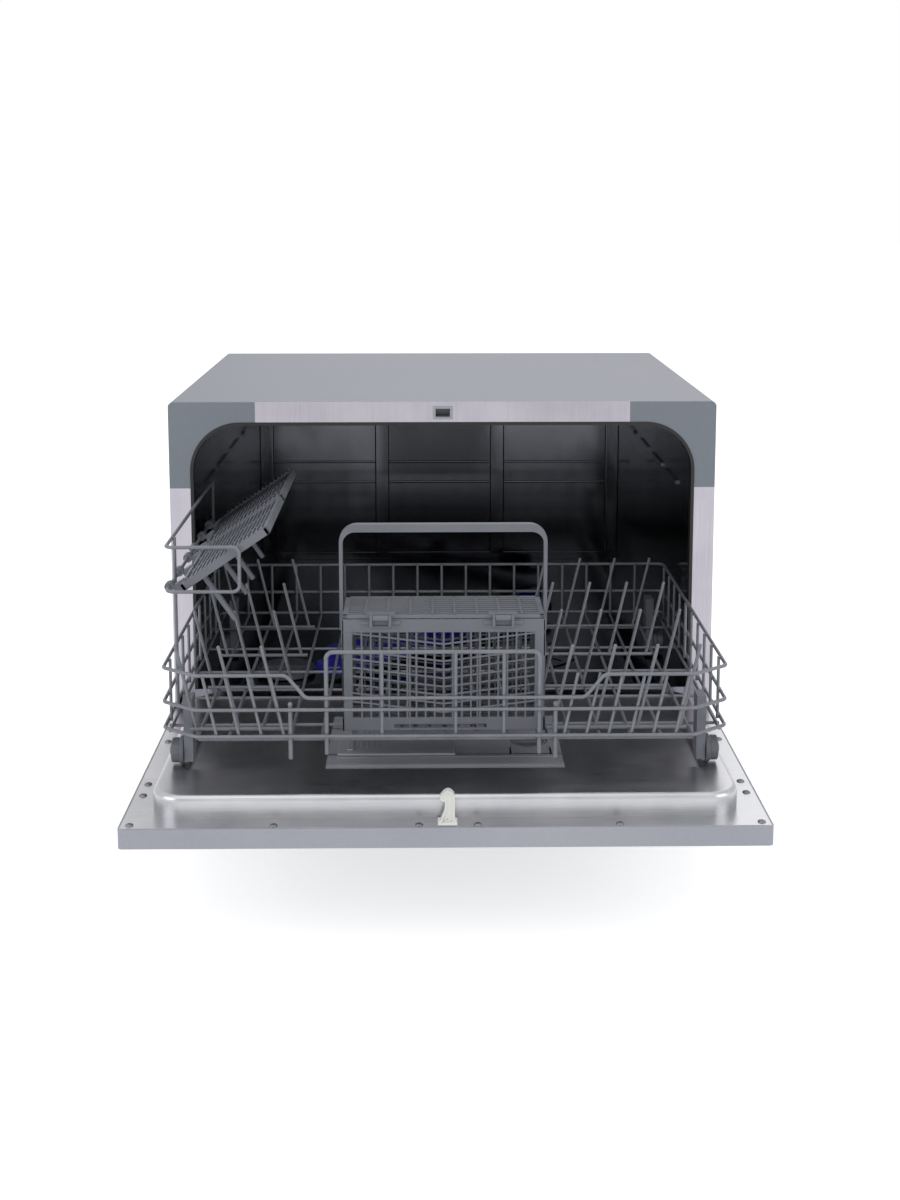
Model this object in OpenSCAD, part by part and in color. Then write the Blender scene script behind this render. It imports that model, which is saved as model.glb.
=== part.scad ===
// Countertop dishwasher with its door down and its wire rack drawn out over the door.
// X runs across the machine, Y into it, Z up. The origin is on the worktop, under the middle of
// the whole footprint. The modules work from the cabinet's front plane (y = 0) and home() shifts them.

/* [Cabinet] */
// Width of the cabinet and of the door
body_w = 550; // [520:1:600]
// Height from the worktop to the top panel
body_h = 438; // [425:1:480]
// Depth of the cabinet behind its front plane
body_d = 455; // [445:1:520]
// Thickness of the painted sheet
sheet = 1.2; // [0.8:0.1:1.6]
// Outer corner radius of the wrap
wrap_r = 5; // [3:0.5:9]
// Joint between the front frame and the wrap
seam = 1; // [0.4:0.1:2]
// Height of the rubber feet
foot_h = 12; // [8:1:20]
// Diameter of a foot
foot_d = 34; // [24:1:44]
// Distance of each foot's axis from the cabinet's edges
foot_inset = 42; // [30:1:70]
// Height of the base tray's rim above its underside
tray_h = 22; // [14:1:30]
// Wall of the base tray
tray_t = 3; // [2:0.5:4]
// Depth of the front frame's return lip
lip_d = 8; // [5:1:12]

/* [Tub] */
// Width of the front frame at each side of the opening
frame_side = 21; // [19:0.5:30]
// Width of the front frame above the opening
frame_top = 20.5; // [18:0.5:26]
// Corner radius at the opening's top
open_r = 50; // [30:1:60]
// Height of the sill, which the wheels run onto
sill_z = 141.2; // [138:0.1:144]
// Sheet of the stainless tub
liner = 1.2; // [0.8:0.1:1.5]
// How far the tub's walls stand outside the opening's edge
tub_out = 2; // [1:0.5:3]
// Clear depth of the tub
tub_depth = 432; // [430:1:440]
// Level of the tub's floor around the filter
floor_z = 120; // [116:1:124]
// Width of each wheel track on the tub's floor
track_w = 36; // [32:1:40]
// Width of the sill behind the opening
sill_d = 14; // [8:1:16]
// Thickness of the door gasket inside the opening
gasket_t = 3.2; // [2:0.1:3.4]
// Number of upright ribs pressed into the tub's back
back_ribs = 4; // [2:1:4]
// Width of a pressed rib
rib_w = 18; // [8:1:20]
// Height of a pressed rib
rib_h = 3; // [1:0.5:5]

/* [Door] */
// Height of the open door's inner face, the flange round the raised panel
door_z = 121; // [119:0.5:124]
// Reach of the open door in front of the cabinet
door_reach = 304; // [290:1:306]
// Thickness of the door at its rim
door_t = 17.3; // [15:0.1:24]
// Gap between the open door and the cabinet
door_gap = 1.5; // [1:0.1:4]
// Height of the raised inner panel
panel_h = 20.3; // [18:0.1:22]
// Flange at each side of the raised panel
panel_side = 23; // [20:0.5:26]
// Flange at the open end of the raised panel
panel_end = 20.5; // [16:0.5:28]
// Gap between the raised panel and the tub's sill
panel_gap = 8; // [6:0.5:12]
// Corner radius of the raised panel
panel_r = 28; // [18:1:34]
// Depth of the recess between the wheel tracks
recess_h = 5.5; // [3:0.5:7]
// Distance of the recess from the open end of the panel
recess_end = 62.5; // [50:0.5:70]
// Half width of the recess between the wheel tracks
recess_x = 230; // [215:1:231]
// Diameter of a door screw's head
screw_d = 7; // [5:0.5:8]
// Height of the latch hook above the flange
hook_h = 30; // [24:1:34]
// Width of the latch hook
hook_w = 9; // [7:0.5:14]

/* [Dispenser] */
// Width of the dispenser's plate
disp_w = 206; // [190:1:214]
// Depth of the dispenser's plate
disp_d = 120; // [100:1:140]
// Distance of the dispenser from the open end of the door
disp_end = 94; // [88:1:110]
// Width of the powder cup's lid
lid_w = 106; // [96:1:110]
// Depth of the powder cup's lid
lid_d = 78; // [60:1:90]
// Depth of the powder cup
cup_h = 16; // [12:1:18]
// Diameter of the rinse aid cap
rinse_d = 34; // [24:1:38]

/* [Controls] */
// Width of the control strip
fascia_w = 380; // [340:1:460]
// Depth of the control strip
fascia_d = 40; // [34:1:46]
// Number of push buttons
button_count = 4; // [4:1:4]
// Diameter of a push button
button_d = 12; // [9:0.5:14]
// Spacing of the push buttons
button_pitch = 26; // [20:1:30]
// Travel of a push button
button_travel = 1; // [0.6:0.1:1.5]
// Width of the display window
window_w = 90; // [60:1:110]

/* [Rack] */
// Half width of the rack's loops, at the wire's centre
rack_x = 248; // [244:0.5:248]
// Distance of the drawn-out rack's front in front of the cabinet
rack_out = 242; // [236:1:246]
// Length of the rack
rack_len = 395; // [380:1:400]
// Width of the slanted corners of the rack's front
chamfer_x = 32; // [24:1:40]
// Depth of the slanted corners of the rack's front
chamfer_y = 24; // [16:1:30]
// Height of the bottom loop
loop_1 = 178.5; // [177:0.5:182]
// Height of the middle loop
loop_2 = 202.4; // [198:0.5:208]
// Height of the top loop
loop_3 = 233.3; // [226:0.5:240]
// Height of the dip in the top loop's front
dip_z = 212.8; // [209:0.2:218]
// Half width of the dip in the top loop's front
dip_x = 121; // [112:1:124]
// Height of the rail in front of the cutlery basket
rail_z = 253; // [244:1:262]
// Diameter of the loop wire
wire_d = 3.2; // [2.4:0.1:3.6]
// Diameter of the cross wires and bars
bar_d = 2.8; // [2.2:0.1:3.2]
// Diameter of the tines
tine_d = 3.4; // [2.6:0.1:3.8]
// Diameter of the posts
post_d = 3.8; // [3:0.1:4.2]
// Bend radius of the wire
bend_r = 8; // [6:0.5:10]
// Spacing of the floor wires
floor_pitch = 27; // [24:0.5:30]
// Spacing of the slanted front bars
bar_pitch = 19.5; // [17:0.5:22]
// Sideways lean of the front bars over their height
bar_lean = 12; // [6:0.5:16]
// Height of the tines
tine_h = 74; // [50:1:90]
// Spacing of the tines
tine_pitch = 37.5; // [34:0.5:42]
// Sideways lean of a tine over its height
tine_lean = 17; // [8:0.5:22]

/* [Wheels] */
// Diameter of a wheel's guide disc
wheel_d = 25; // [22:0.5:25.5]
// Width of the guide disc
disc_w = 4; // [3:0.5:5]
// Diameter of a wheel's tread
tread_d = 22; // [18:0.5:22]
// Width of a wheel's tread
tread_w = 7.5; // [5:0.5:8]
// Distance of the guide disc's inner face from the rack's middle
wheel_x = 232; // [231.5:0.5:233]
// Distance of each wheel from the rack's near end
wheel_in = 35; // [33:0.5:38]
// Radius of the wheel's axle
axle_r = 3; // [2.5:0.1:3.5]
// Running clearance on the axle
axle_fit = 0.05; // [0.03:0.01:0.09]

/* [Cutlery basket] */
// Width of the basket
basket_w = 178.5; // [160:0.5:184]
// Depth of the basket
basket_d = 66; // [56:1:70]
// Height of the basket's walls
basket_h = 101; // [90:1:110]
// Wall of the basket
basket_t = 2.2; // [1.6:0.1:3]
// Sideways offset of the basket from the rack's middle
basket_x = -1.5; // [-2:0.1:0]
// Height of the handle above the basket's rim
handle_h = 78; // [70:1:90]
// Number of openings across the front window
window_bars = 20; // [10:1:20]

/* [Cup shelf] */
// Tilt of the shelf from level
shelf_tilt = 34.4; // [33:0.2:36]
// Width of the shelf from its hinge side to its free edge
shelf_w = 93; // [80:1:98]
// Length of each of the two shelves
shelf_len = 140; // [120:1:142]
// Thickness of the shelf
shelf_t = 7; // [5:0.5:7]
// Height of the shelf's hinge rail
hinge_z = 298; // [294:1:300]
// Height of the frame rail over the hinge rail
frame_h = 40; // [36:1:42]
// Width of the shelf frame's front loop
frame_w = 65; // [55:1:70]

/* [Wash system] */
// Sweep radius of the spray arm
arm_r = 188; // [150:1:190]
// Level of the spray arm's underside
arm_z = 130; // [128:1:132]
// Thickness of the spray arm
arm_t = 12; // [10:1:13]
// Height of the fins over the arm
fin_h = 16; // [8:1:17]
// Width of the spray arm's blade
arm_w = 46; // [36:1:56]
// Outer radius of the sump
sump_r = 66; // [60:1:70]
// Radius of the coarse filter's cup
filter_r = 30; // [24:1:32]
// Radius of the wash pump's motor
pump_r = 34; // [28:1:36]
// Radius of the drain pump's motor
drain_r = 22; // [16:1:24]
// Radius of the salt cap
salt_r = 32; // [26:1:34]
// Reach of the rear water ports behind the cabinet
port_len = 10; // [8:1:16]
// Radius of the water inlet port
inlet_r = 13.2; // [12:0.1:14]
// Radius of the drain port
outlet_r = 9; // [7:0.5:11]

/* [Hidden] */
$fn = 48;
// Clearances: seat is a slack seat inside one body, run is between bodies, touch keeps wires apart
seat = 0.1;
run = 0.3;
touch = 0.05;
// The coating gathers on a bend, which is a hair thicker; straight wire runs this far into it
swell = 0.1;
lap = 0.3;

half_w = body_w / 2;
y_shift = (door_reach - body_d - port_len) / 2;
open_x = half_w - frame_side;
open_top = body_h - frame_top;
tub_x = open_x + tub_out;
tub_top = open_top + tub_out;
frame_z = door_z - 3;
kick_top = door_z - door_t - 0.8;
track_x = tub_x + liner - track_w;
track_slope = 14;
mid_y = tub_depth / 2;
rib_pitch = 148;
rib_foot = 60;
rib_head = 20;
band_z0 = open_top - 143.9;
band_pitch = 26.4;
band_h = 3;
band_end = 12;
side_rib_z = open_top - 84;
side_rib_w = 4;
side_rib_y0 = 114;
side_rib_len = 76;
side_rib_pitch = 107;
side_rib_h = 2.5;
frame_low = frame_z - 14;
fold_in = 16;
latch_x = 9;
latch_z0 = tub_top + liner + 0.5;
latch_z1 = latch_z0 + 11.6;

// Door
door_y0 = -door_reach;
door_y1 = -door_gap;
pan_z = door_z - door_t;
panel_x = half_w - panel_side;
panel_y0 = door_y0 + panel_end;
panel_y1 = -panel_gap;
plateau_z = door_z + panel_h;
recess_z = plateau_z - recess_h;
recess_y0 = panel_y0 + recess_end;
disp_y0 = door_y0 + disp_end;
disp_y1 = disp_y0 + disp_d;
disp_z = plateau_z + 0.5;
lid_x0 = -disp_w / 2 + 6;
lid_y0 = disp_y0 + 16;
lid_t = 2.4;
cup_wall = 6;
rinse_x = disp_w / 2 - 8 - rinse_d / 2;
rinse_y = lid_y0 + lid_d / 2;
fascia_y0 = door_y0 + 4;
button_y = fascia_y0 + fascia_d / 2;
button_x0 = -fascia_w / 2 + 40;
window_x0 = button_x0 + button_count * button_pitch + 14;
button_top = pan_z + 3.4;
switch_z = button_top + button_travel + run;
grip_y = fascia_y0 + fascia_d + 24;
grip_x = 70;
grip_w = 32;
grip_h = 12;
rim_r = 4;
hook_x = 1;
// The closed door's end meets the cabinet's top: the pin stands at this place
pin_y = 6.25;
pin_z = door_z + 6.75;
pin_r = 3;
arm_end = pin_y + 7.75;
hinge_top = door_z + 14;

// Rack, drawn out
rack_y0 = -rack_out;
rack_y1 = rack_y0 + rack_len;
inner_x = rack_x - wire_d / 2 - bar_d / 2 + 0.4;
inner_y = rack_y0 + wire_d / 2 + bar_d / 2 - 0.4;
floor_wz = loop_1 - wire_d / 2 - bar_d / 2 - touch;
cross_z = floor_wz - bar_d + 0.3;
floor_top = floor_wz + bar_d / 2;
tine_z = floor_top + tine_d / 2 + touch;
rack_turn_y = rack_y0 + chamfer_y;
side_y0 = rack_turn_y + bend_r;
wheel_z = plateau_z + run + wheel_d / 2;
axle_yf = rack_y0 + wheel_in;
axle_yr = rack_y1 - wheel_in;
bracket_x = wheel_x - 0.5;
bracket_w = 8;
bracket_y = 9;
rail_xl = -103.5;
rail_xr = 81.5;

// Basket
basket_z = floor_top + seat;
basket_y0 = rack_y0 + wire_d / 2 + post_d + 12;
basket_x0 = basket_x - basket_w / 2;
basket_x1 = basket_x + basket_w / 2;
basket_y1 = basket_y0 + basket_d;
rim_z = basket_z + basket_h;
blid_t = 3;
blid_pin = 1.5;
lid_axis_y = 3.4;
lid_axis_z = run + blid_t / 2;
chevron_drop = 10;
hinge_half = 7;
ear_w = 2.5;
ear_r = 2.8;
side_in = 12;
slat_w = 2;
win_side = 9.5;
win_z0 = basket_z + 12;
win_z1 = rim_z - 12;
handle_y = basket_y0 + basket_d / 2;

// Cup shelf
hinge_x = -(rack_x - 2);
shelf_drop = 2.5;
shelf_in = 12;
shelf_rim = 6;
shelf_rows = 7;
shelf_cells = 5;
shelf_rib = 4;
knuckle_w = 8;
leg_w = 6;
shelf_y0 = rack_y0 + 42;
shelf_gap = 6;
frame_y = rack_y0 + 37;
frame_y1 = shelf_y0 + 2 * shelf_len + 20;
knuckle_r = 4.4;
shelf_leg = 60;

// Wash system
hub_x = 0;
hub_y = mid_y;
hub_r = 11;
hub_bore = 6;
filter_x = 92;
filter_y = hub_y - 26;
well_z = floor_z - 26;
salt_x = -172;
salt_y = 120;
grip_top = arm_z - 1.2;
tray_z = foot_h;
tray_top = foot_h + tray_t;
pump_x = -60;
heater_x = pump_x - 62;
softener_x1 = salt_x + 27;
pump_z = tray_top + 8 + pump_r;
pump_y = hub_y - 120;
heater_y = hub_y - 110;
heater_len = 120;
heater_r = 20;
spring_y = 66;
spring_z = door_z - 32;
spring_len = 120;
spring_r = 5;
motor_len = 86;
impeller_len = 50;
breather_y = 130;
breather_len = 190;
breather_h = 200;
groove_pitch = 36;
inlet_x = 190;
outlet_x = 130;
gland_x = -190;
port_z = 70;

// Shared shapes

// Moves a shape from the cabinet's front plane to the part's origin.
module home() {
    translate([0, y_shift, 0]) children();
}

// Box between two corners.
module span(a, b) {
    translate(a) cube(b - a);
}

// Rounded rectangle between two corners, with its own radius at the bottom and at the top.
module round_rect(x0, y0, x1, y1, low, high) {
    difference() {
        translate([x0, y0]) square([x1 - x0, y1 - y0]);
        for (s = [0, 1]) {
            if (low > 0) translate([s ? x1 : x0, y0]) corner_cut(low, s, 0);
            if (high > 0) translate([s ? x1 : x0, y1]) corner_cut(high, s, 1);
        }
    }
}

// Waste piece outside a corner's quarter circle.
module corner_cut(r, sx, sy) {
    dx = sx ? -r : 0;
    dy = sy ? -r : 0;
    cx = sx ? -r : r;
    cy = sy ? -r : r;
    difference() {
        translate([dx - (sx ? 0 : 1), dy - (sy ? 0 : 1)]) square(r + 1);
        translate([cx, cy]) circle(r);
    }
}

// Upright sheet shape drawn in X and Z, from y0 to y1.
module upright(y0, y1) {
    translate([0, y1, 0]) rotate([90, 0, 0]) linear_extrude(y1 - y0) children();
}

// Straight wire between two points.
module wire(p, q, d) {
    v = q - p;
    l = norm(v);
    translate(p) rotate([0, acos(v[2] / l), atan2(v[1], v[0])]) cylinder(h = l, d = d);
}

// Unit vector and plane angle of a step in 2D.
function unit(v) = v / norm(v);
function heading(v) = atan2(v[1], v[0]);
function turn(a, b) = let (t = heading(b) - heading(a)) t > 180 ? t - 360 : t < -180 ? t + 360 : t;

// Wire bent through the given points of a plane, with one bend radius.
module bent(pts, d, r) {
    n = len(pts);
    dirs = [for (i = [0:n - 2]) unit(pts[i + 1] - pts[i])];
    cut = [for (i = [0:n - 1]) i == 0 || i == n - 1 ? 0 : r * tan(abs(turn(dirs[i - 1], dirs[i])) / 2)];
    for (i = [0:n - 2]) {
        a = pts[i] + dirs[i] * (cut[i] - (i > 0 ? lap : 0));
        b = pts[i + 1] - dirs[i] * (cut[i + 1] - (i < n - 2 ? lap : 0));
        if (norm(b - a) > 2 * lap) wire([a[0], a[1], 0], [b[0], b[1], 0], d);
    }
    for (i = [1:1:n - 2]) {
        t = turn(dirs[i - 1], dirs[i]);
        side = t > 0 ? 1 : -1;
        start = pts[i] - dirs[i - 1] * cut[i];
        centre = start + side * r * [-dirs[i - 1][1], dirs[i - 1][0]];
        from = heading(t > 0 ? dirs[i - 1] : dirs[i]) - (t > 0 ? 90 : -90);
        translate([centre[0], centre[1], 0]) rotate([0, 0, from])
            rotate_extrude(angle = abs(t)) translate([r, 0]) circle(d = d + swell);
    }
}

// The same wire in a level plane, in an upright plane across the machine, and in one along it.
module bent_level(z, pts, d, r = bend_r) {
    translate([0, 0, z]) bent(pts, d, r);
}

module bent_front(y, pts, d, r = bend_r) {
    translate([0, y, 0]) rotate([90, 0, 0]) bent(pts, d, r);
}

module both() {
    children();
    mirror([1, 0, 0]) children();
}

// The cabinet

// Painted sheet folded over the top and both sides.
module outer_wrap() home() color([0.56, 0.57, 0.61])
    upright(sheet + seam, body_d - sheet) difference() {
        round_rect(-half_w, foot_h + 2, half_w, body_h, 0, wrap_r);
        round_rect(-half_w + sheet, foot_h, half_w - sheet, body_h - sheet, 0, wrap_r - sheet);
    }

// Rear sheet with vents and holes for the ports.
module rear_cover() home() color([0.42, 0.43, 0.45]) difference() {
    upright(body_d - sheet, body_d) round_rect(-half_w, foot_h + 2, half_w, body_h, 0, wrap_r);
    for (i = [0:7], s = [-1, 1])
        span([s * 120 - 42, body_d - 2 * sheet, 190 + i * 14], [s * 120 + 42, body_d + 1, 195 + i * 14]);
    for (p = [[inlet_x, inlet_r - 1], [outlet_x, outlet_r - 1], [gland_x, 9]])
        translate([p[0], body_d + 1, port_z]) rotate([90, 0, 0]) cylinder(h = 4, r = p[1] + seat);
}

// Drip tray that carries the wash system and the feet.
module base_tray() home() color([0.3, 0.31, 0.33]) difference() {
    union() {
        difference() {
            span([-half_w + sheet + seat, sheet, tray_z],
                 [half_w - sheet - seat, body_d - sheet - seat, tray_z + tray_h]);
            span([-half_w + sheet + seat + tray_t, sheet + tray_t, tray_top],
                 [half_w - sheet - seat - tray_t, body_d - sheet - seat - tray_t, tray_z + tray_h + 1]);
        }
        feet_at() cylinder(h = 12, r = 9);
    }
    feet_at() translate([0, 0, -1]) cylinder(h = 11, r = 4 + seat);
}

module feet_at() {
    for (x = [-1, 1], y = [foot_inset, body_d - foot_inset])
        translate([x * (half_w - foot_inset), y, tray_z]) children();
}

// Rubber feet with their push-in stems.
module feet() home() color([0.08, 0.08, 0.09]) feet_at() {
    translate([0, 0, -foot_h]) cylinder(h = foot_h, d = foot_d);
    cylinder(h = 9, r = 4);
}

// Painted panel below the door, with a folded top edge.
module kick_plate() home() color([0.56, 0.57, 0.61]) {
    span([-half_w, 0, tray_z + 2], [half_w, sheet, kick_top]);
    span([-half_w + fold_in, sheet, kick_top - sheet], [half_w - fold_in, sheet + lip_d, kick_top]);
}

// Stainless frame round the opening.
module front_frame() home() color([0.78, 0.77, 0.82]) difference() {
    union() {
        upright(0, sheet) round_rect(-half_w, frame_low, half_w, body_h, 0, wrap_r);
        upright(sheet, sheet + lip_d) difference() {
            round_rect(-half_w + sheet + seat, frame_low, half_w - sheet - seat,
                body_h - sheet - seat, 0, wrap_r - sheet);
            round_rect(-half_w + 2 * sheet + seat, frame_low - 1, half_w - 2 * sheet - seat,
                       body_h - 2 * sheet - seat, 0, wrap_r - 2 * sheet);
        }
    }
    upright(-1, 3 * sheet + lip_d) round_rect(-open_x, sill_z, open_x, open_top, 0, open_r);
    span([-latch_x, -1, latch_z0], [latch_x, sheet + 1, latch_z1]);
    both() span([half_w - 13, -1, frame_low - 1], [half_w - 5, sheet + 1, hinge_top + 2]);
}

// Black rubber seal round the sides and top of the opening.
module gasket() home() color([0.04, 0.04, 0.05]) {
    upright(sheet, sheet + 9) difference() {
        round_rect(-open_x - 1.6, sill_z, open_x + 1.6, open_top + 1.6, 0, open_r + 1.6);
        round_rect(-open_x + gasket_t, sill_z - 1, open_x - gasket_t, open_top - gasket_t, 0,
            open_r - gasket_t);
    }
    upright(-0.8, sheet) difference() {
        round_rect(-open_x, sill_z, open_x, open_top, 0, open_r);
        round_rect(-open_x + gasket_t, sill_z - 1, open_x - gasket_t, open_top - gasket_t, 0,
            open_r - gasket_t);
    }
}

// The tub

// Sides and top of the stainless tub.
module tub_wrap() home() color([0.35, 0.36, 0.38]) {
    upright(sheet, tub_depth) difference() {
        round_rect(-tub_x - liner, sill_z, tub_x + liner, tub_top + liner, 0, open_r + tub_out + liner);
        round_rect(-tub_x, sill_z - 1, tub_x, tub_top, 0, open_r + tub_out);
    }
    for (s = [-1, 1], i = [0:2]) {
        y = side_rib_y0 + i * side_rib_pitch;
        span([s * tub_x - (s > 0 ? side_rib_h : 0), y, side_rib_z - side_rib_w / 2],
             [s * tub_x + (s < 0 ? side_rib_h : 0), y + side_rib_len, side_rib_z + side_rib_w / 2]);
    }
}

// Back of the tub with its pressed ribs.
module tub_back() home() color([0.33, 0.34, 0.36]) {
    upright(tub_depth, tub_depth + liner)
        round_rect(-tub_x - liner, floor_z - liner, tub_x + liner, tub_top + liner, 0,
            open_r + tub_out + liner);
    for (i = [0:back_ribs - 1]) {
        x = (i - (back_ribs - 1) / 2) * rib_pitch;
        span([x - rib_w / 2, tub_depth - rib_h, floor_z + rib_foot],
             [x + rib_w / 2, tub_depth, tub_top - rib_head]);
    }
    for (z = [band_z0, band_z0 + band_pitch])
        span([-tub_x + band_end, tub_depth - rib_h / 2, z - band_h / 2],
             [tub_x - band_end, tub_depth, z + band_h / 2]);
}

// Floor of the tub: two wheel tracks, a sill and a pan that falls to the sump.
module tub_floor() home() color([0.36, 0.37, 0.39]) difference() {
    union() {
        upright(sheet, tub_depth) polygon([
            [-tub_x - liner, sill_z], [-track_x, sill_z], [-track_x + track_slope, floor_z],
            [track_x - track_slope, floor_z], [track_x, sill_z], [tub_x + liner, sill_z],
            [tub_x + liner, sill_z - liner], [track_x + 1, sill_z - liner],
            [track_x + 1 - track_slope, floor_z - liner], [track_slope - track_x - 1, floor_z - liner],
            [-track_x - 1, sill_z - liner], [-tub_x - liner, sill_z - liner]
        ]);
        upright(sheet, sheet + sill_d) polygon([
            [-track_x, sill_z], [track_slope - track_x, floor_z - liner],
                [track_x - track_slope, floor_z - liner],
            [track_x, sill_z]
        ]);
    }
    translate([hub_x, hub_y, floor_z - 2 * liner]) cylinder(h = 3 * liner, r = hub_r + seat);
    translate([filter_x, filter_y, floor_z - 2 * liner]) cylinder(h = 3 * liner, r = filter_r + 4);
    translate([salt_x, salt_y, floor_z - 2 * liner]) cylinder(h = 3 * liner, r = salt_r - 4);
}

// Moulded sump under the filter.
module sump() home() color([0.25, 0.26, 0.28]) translate([filter_x, filter_y, 0]) difference() {
    union() {
        translate([0, 0, tray_top + 12]) cylinder(h = floor_z - liner - seat - tray_top - 12,
            r = sump_r - 20);
        translate([0, 0, floor_z - liner - seat - 5]) cylinder(h = 5, r = sump_r);
        for (a = [45:90:315]) rotate([0, 0, a])
            translate([sump_r - 26, 0, tray_top]) cylinder(h = 14, r = 4);
    }
    translate([0, 0, tray_top + 16]) cylinder(h = 200, r = sump_r - 24);
}

// Perforated plate over the sump.
module filter_plate() home() color([0.6, 0.61, 0.63]) difference() {
    translate([filter_x, filter_y, floor_z + seat]) cylinder(h = 1.2, r = sump_r - 2);
    translate([filter_x, filter_y, floor_z - 1]) cylinder(h = 4, r = filter_r + 1);
    translate([hub_x, hub_y, floor_z - 1]) cylinder(h = 4, r = hub_r + 2);
    for (a = [0:20:340]) rotate_about(filter_x, filter_y, a)
        span([filter_x + filter_r + 6, filter_y - 2, floor_z - 1],
            [filter_x + sump_r - 10, filter_y + 2, floor_z + 4]);
}

module rotate_about(x, y, a) {
    translate([x, y, 0]) rotate([0, 0, a]) translate([-x, -y, 0]) children();
}

// Coarse filter cup with its grip; it turns a quarter to come out.
module coarse_filter() home() color([0.5, 0.51, 0.54]) translate([filter_x, filter_y, 0]) difference() {
    union() {
        translate([0, 0, well_z - 20]) cylinder(h = floor_z + 2 - well_z + 20, r = filter_r - 4);
        translate([0, 0, floor_z + 1.2 + run + seat]) cylinder(h = 3, r = filter_r + 2);
        span([-filter_r + 6, -3, floor_z + 4], [filter_r - 6, 3, grip_top]);
    }
    difference() {
        translate([0, 0, well_z - 18]) cylinder(h = 200, r = filter_r - 6);
        span([-filter_r, -3, floor_z + 1], [filter_r, 3, arm_z]);
    }
}

// Fine mesh sleeve inside the coarse filter.
module micro_filter() home() color([0.7, 0.71, 0.72]) translate([filter_x, filter_y, well_z - 18])
    difference() {
    cylinder(h = 34, r = filter_r - 6 - seat);
    translate([0, 0, -1]) cylinder(h = 40, r = filter_r - 8);
}

// The spray arm

// Fixed post with a shoulder and a thinner spindle.
module spray_hub() home() color([0.3, 0.31, 0.33]) translate([hub_x, hub_y, 0]) {
    translate([0, 0, pump_z - 6]) cylinder(h = arm_z - run - pump_z + 6, r = hub_r);
    translate([0, 0, floor_z - liner - seat - 4]) cylinder(h = 4, r = 2 * hub_r);
    translate([0, 0, arm_z - run - 1]) cylinder(h = arm_t + 2 * run + 8, r = hub_bore);
}

// Turning arm with two blades, nozzles and a fin on each blade.
module spray_arm() home() color([0.1, 0.1, 0.35]) translate([hub_x, hub_y, 0]) rotate([0, 0, 45])
    difference() {
    union() {
        translate([0, 0, arm_z]) cylinder(h = arm_t, r = arm_w / 2 + 4);
        for (s = [0, 180]) rotate([0, 0, s]) {
            span([0, -arm_w / 2, arm_z], [arm_r - arm_w / 2, arm_w / 2, arm_z + arm_t - 2]);
            translate([arm_r - arm_w / 2, 0, arm_z]) cylinder(h = arm_t - 2, r = arm_w / 2 - 1);
            span([arm_r - 70, -3, arm_z + arm_t - 3], [arm_r - 12, 3, arm_z + arm_t + fin_h]);
        }
    }
    translate([0, 0, arm_z - 1]) cylinder(h = arm_t + 2, r = hub_bore + axle_fit);
    for (s = [0, 180], i = [0:3]) rotate([0, 0, s])
        translate([40 + i * 26, (i % 2 ? 1 : -1) * 12, arm_z + 3]) cylinder(h = arm_t, r = 1.6);
}

// Nut that holds the arm on its spindle.
module spray_nut() home() color([0.16, 0.16, 0.42]) translate([hub_x, hub_y, arm_z + arm_t + run])
    difference() {
    cylinder(h = 9, r = 15);
    translate([0, 0, -1]) cylinder(h = 9, r = hub_bore + seat);
}

// Under the tub

// Circulation pump lying on its saddles.
module wash_pump() home() color([0.2, 0.21, 0.23]) {
    translate([pump_x, pump_y, pump_z]) rotate([-90, 0, 0]) cylinder(h = motor_len, r = pump_r);
    translate([pump_x, pump_y + motor_len, pump_z]) rotate([-90, 0, 0])
        cylinder(h = impeller_len, r = pump_r - 6);
    for (y = [pump_y + 12, pump_y + 60])
        span([pump_x - 20, y, tray_top], [pump_x + 20, y + 8, pump_z - pump_r + 6]);
    wire([pump_x + 10, filter_y, pump_z], [filter_x - sump_r + 20 - seat, filter_y, pump_z], 20);
    wire([pump_x + 10, hub_y, pump_z + 6], [hub_x - hub_r - seat, hub_y, pump_z + 6], 14);
}

// Drain pump on the other side of the sump.
module drain_pump() home() color([0.15, 0.16, 0.18]) {
    translate([filter_x + sump_r + 14, filter_y, tray_top + 8 + drain_r]) rotate([0, 90, 0])
        cylinder(h = 54, r = drain_r);
    span([filter_x + sump_r + 24, filter_y - 12, tray_top],
        [filter_x + sump_r + 34, filter_y + 12, tray_top + 14]);
    wire([filter_x + sump_r - 20 + seat, filter_y, tray_top + 8 + drain_r],
         [filter_x + sump_r + 15, filter_y, tray_top + 8 + drain_r], 16);
}

// Flow heater beside the wash pump.
module heater() home() color([0.62, 0.6, 0.56]) {
    translate([heater_x, heater_y, tray_top + heater_r + 10]) rotate([-90, 0, 0])
        cylinder(h = heater_len, r = heater_r);
    for (y = [heater_y + 14, heater_y + heater_len - 26])
        span([heater_x - 12, y, tray_top], [heater_x + 12, y + 8, tray_top + 14]);
}

// Water softener with its neck up to the tub floor.
module softener() home() color([0.82, 0.82, 0.8]) difference() {
    union() {
        span([salt_x - 52, salt_y - 55, tray_top], [softener_x1, salt_y + 110, floor_z - 30]);
        translate([salt_x, salt_y, floor_z - 31]) cylinder(h = 31 - liner - seat, r = salt_r);
        translate([salt_x, salt_y, floor_z - liner - seat - 1])
            cylinder(h = liner + seat + 2, r = salt_r - 4 - seat);
    }
    translate([salt_x, salt_y, tray_top + 14]) cylinder(h = 200, r = salt_r - 8);
}

// Screw cap of the salt tank.
module salt_cap() home() color([0.55, 0.56, 0.58]) translate([salt_x, salt_y, 0]) {
    translate([0, 0, floor_z + 1 + run]) cylinder(h = 5, r = salt_r);
    translate([0, 0, floor_z - 12]) cylinder(h = 14 + run, r = salt_r - 8 - axle_fit);
    span([-salt_r + 6, -4, floor_z + 6], [salt_r - 6, 4, grip_top]);
}

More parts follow.
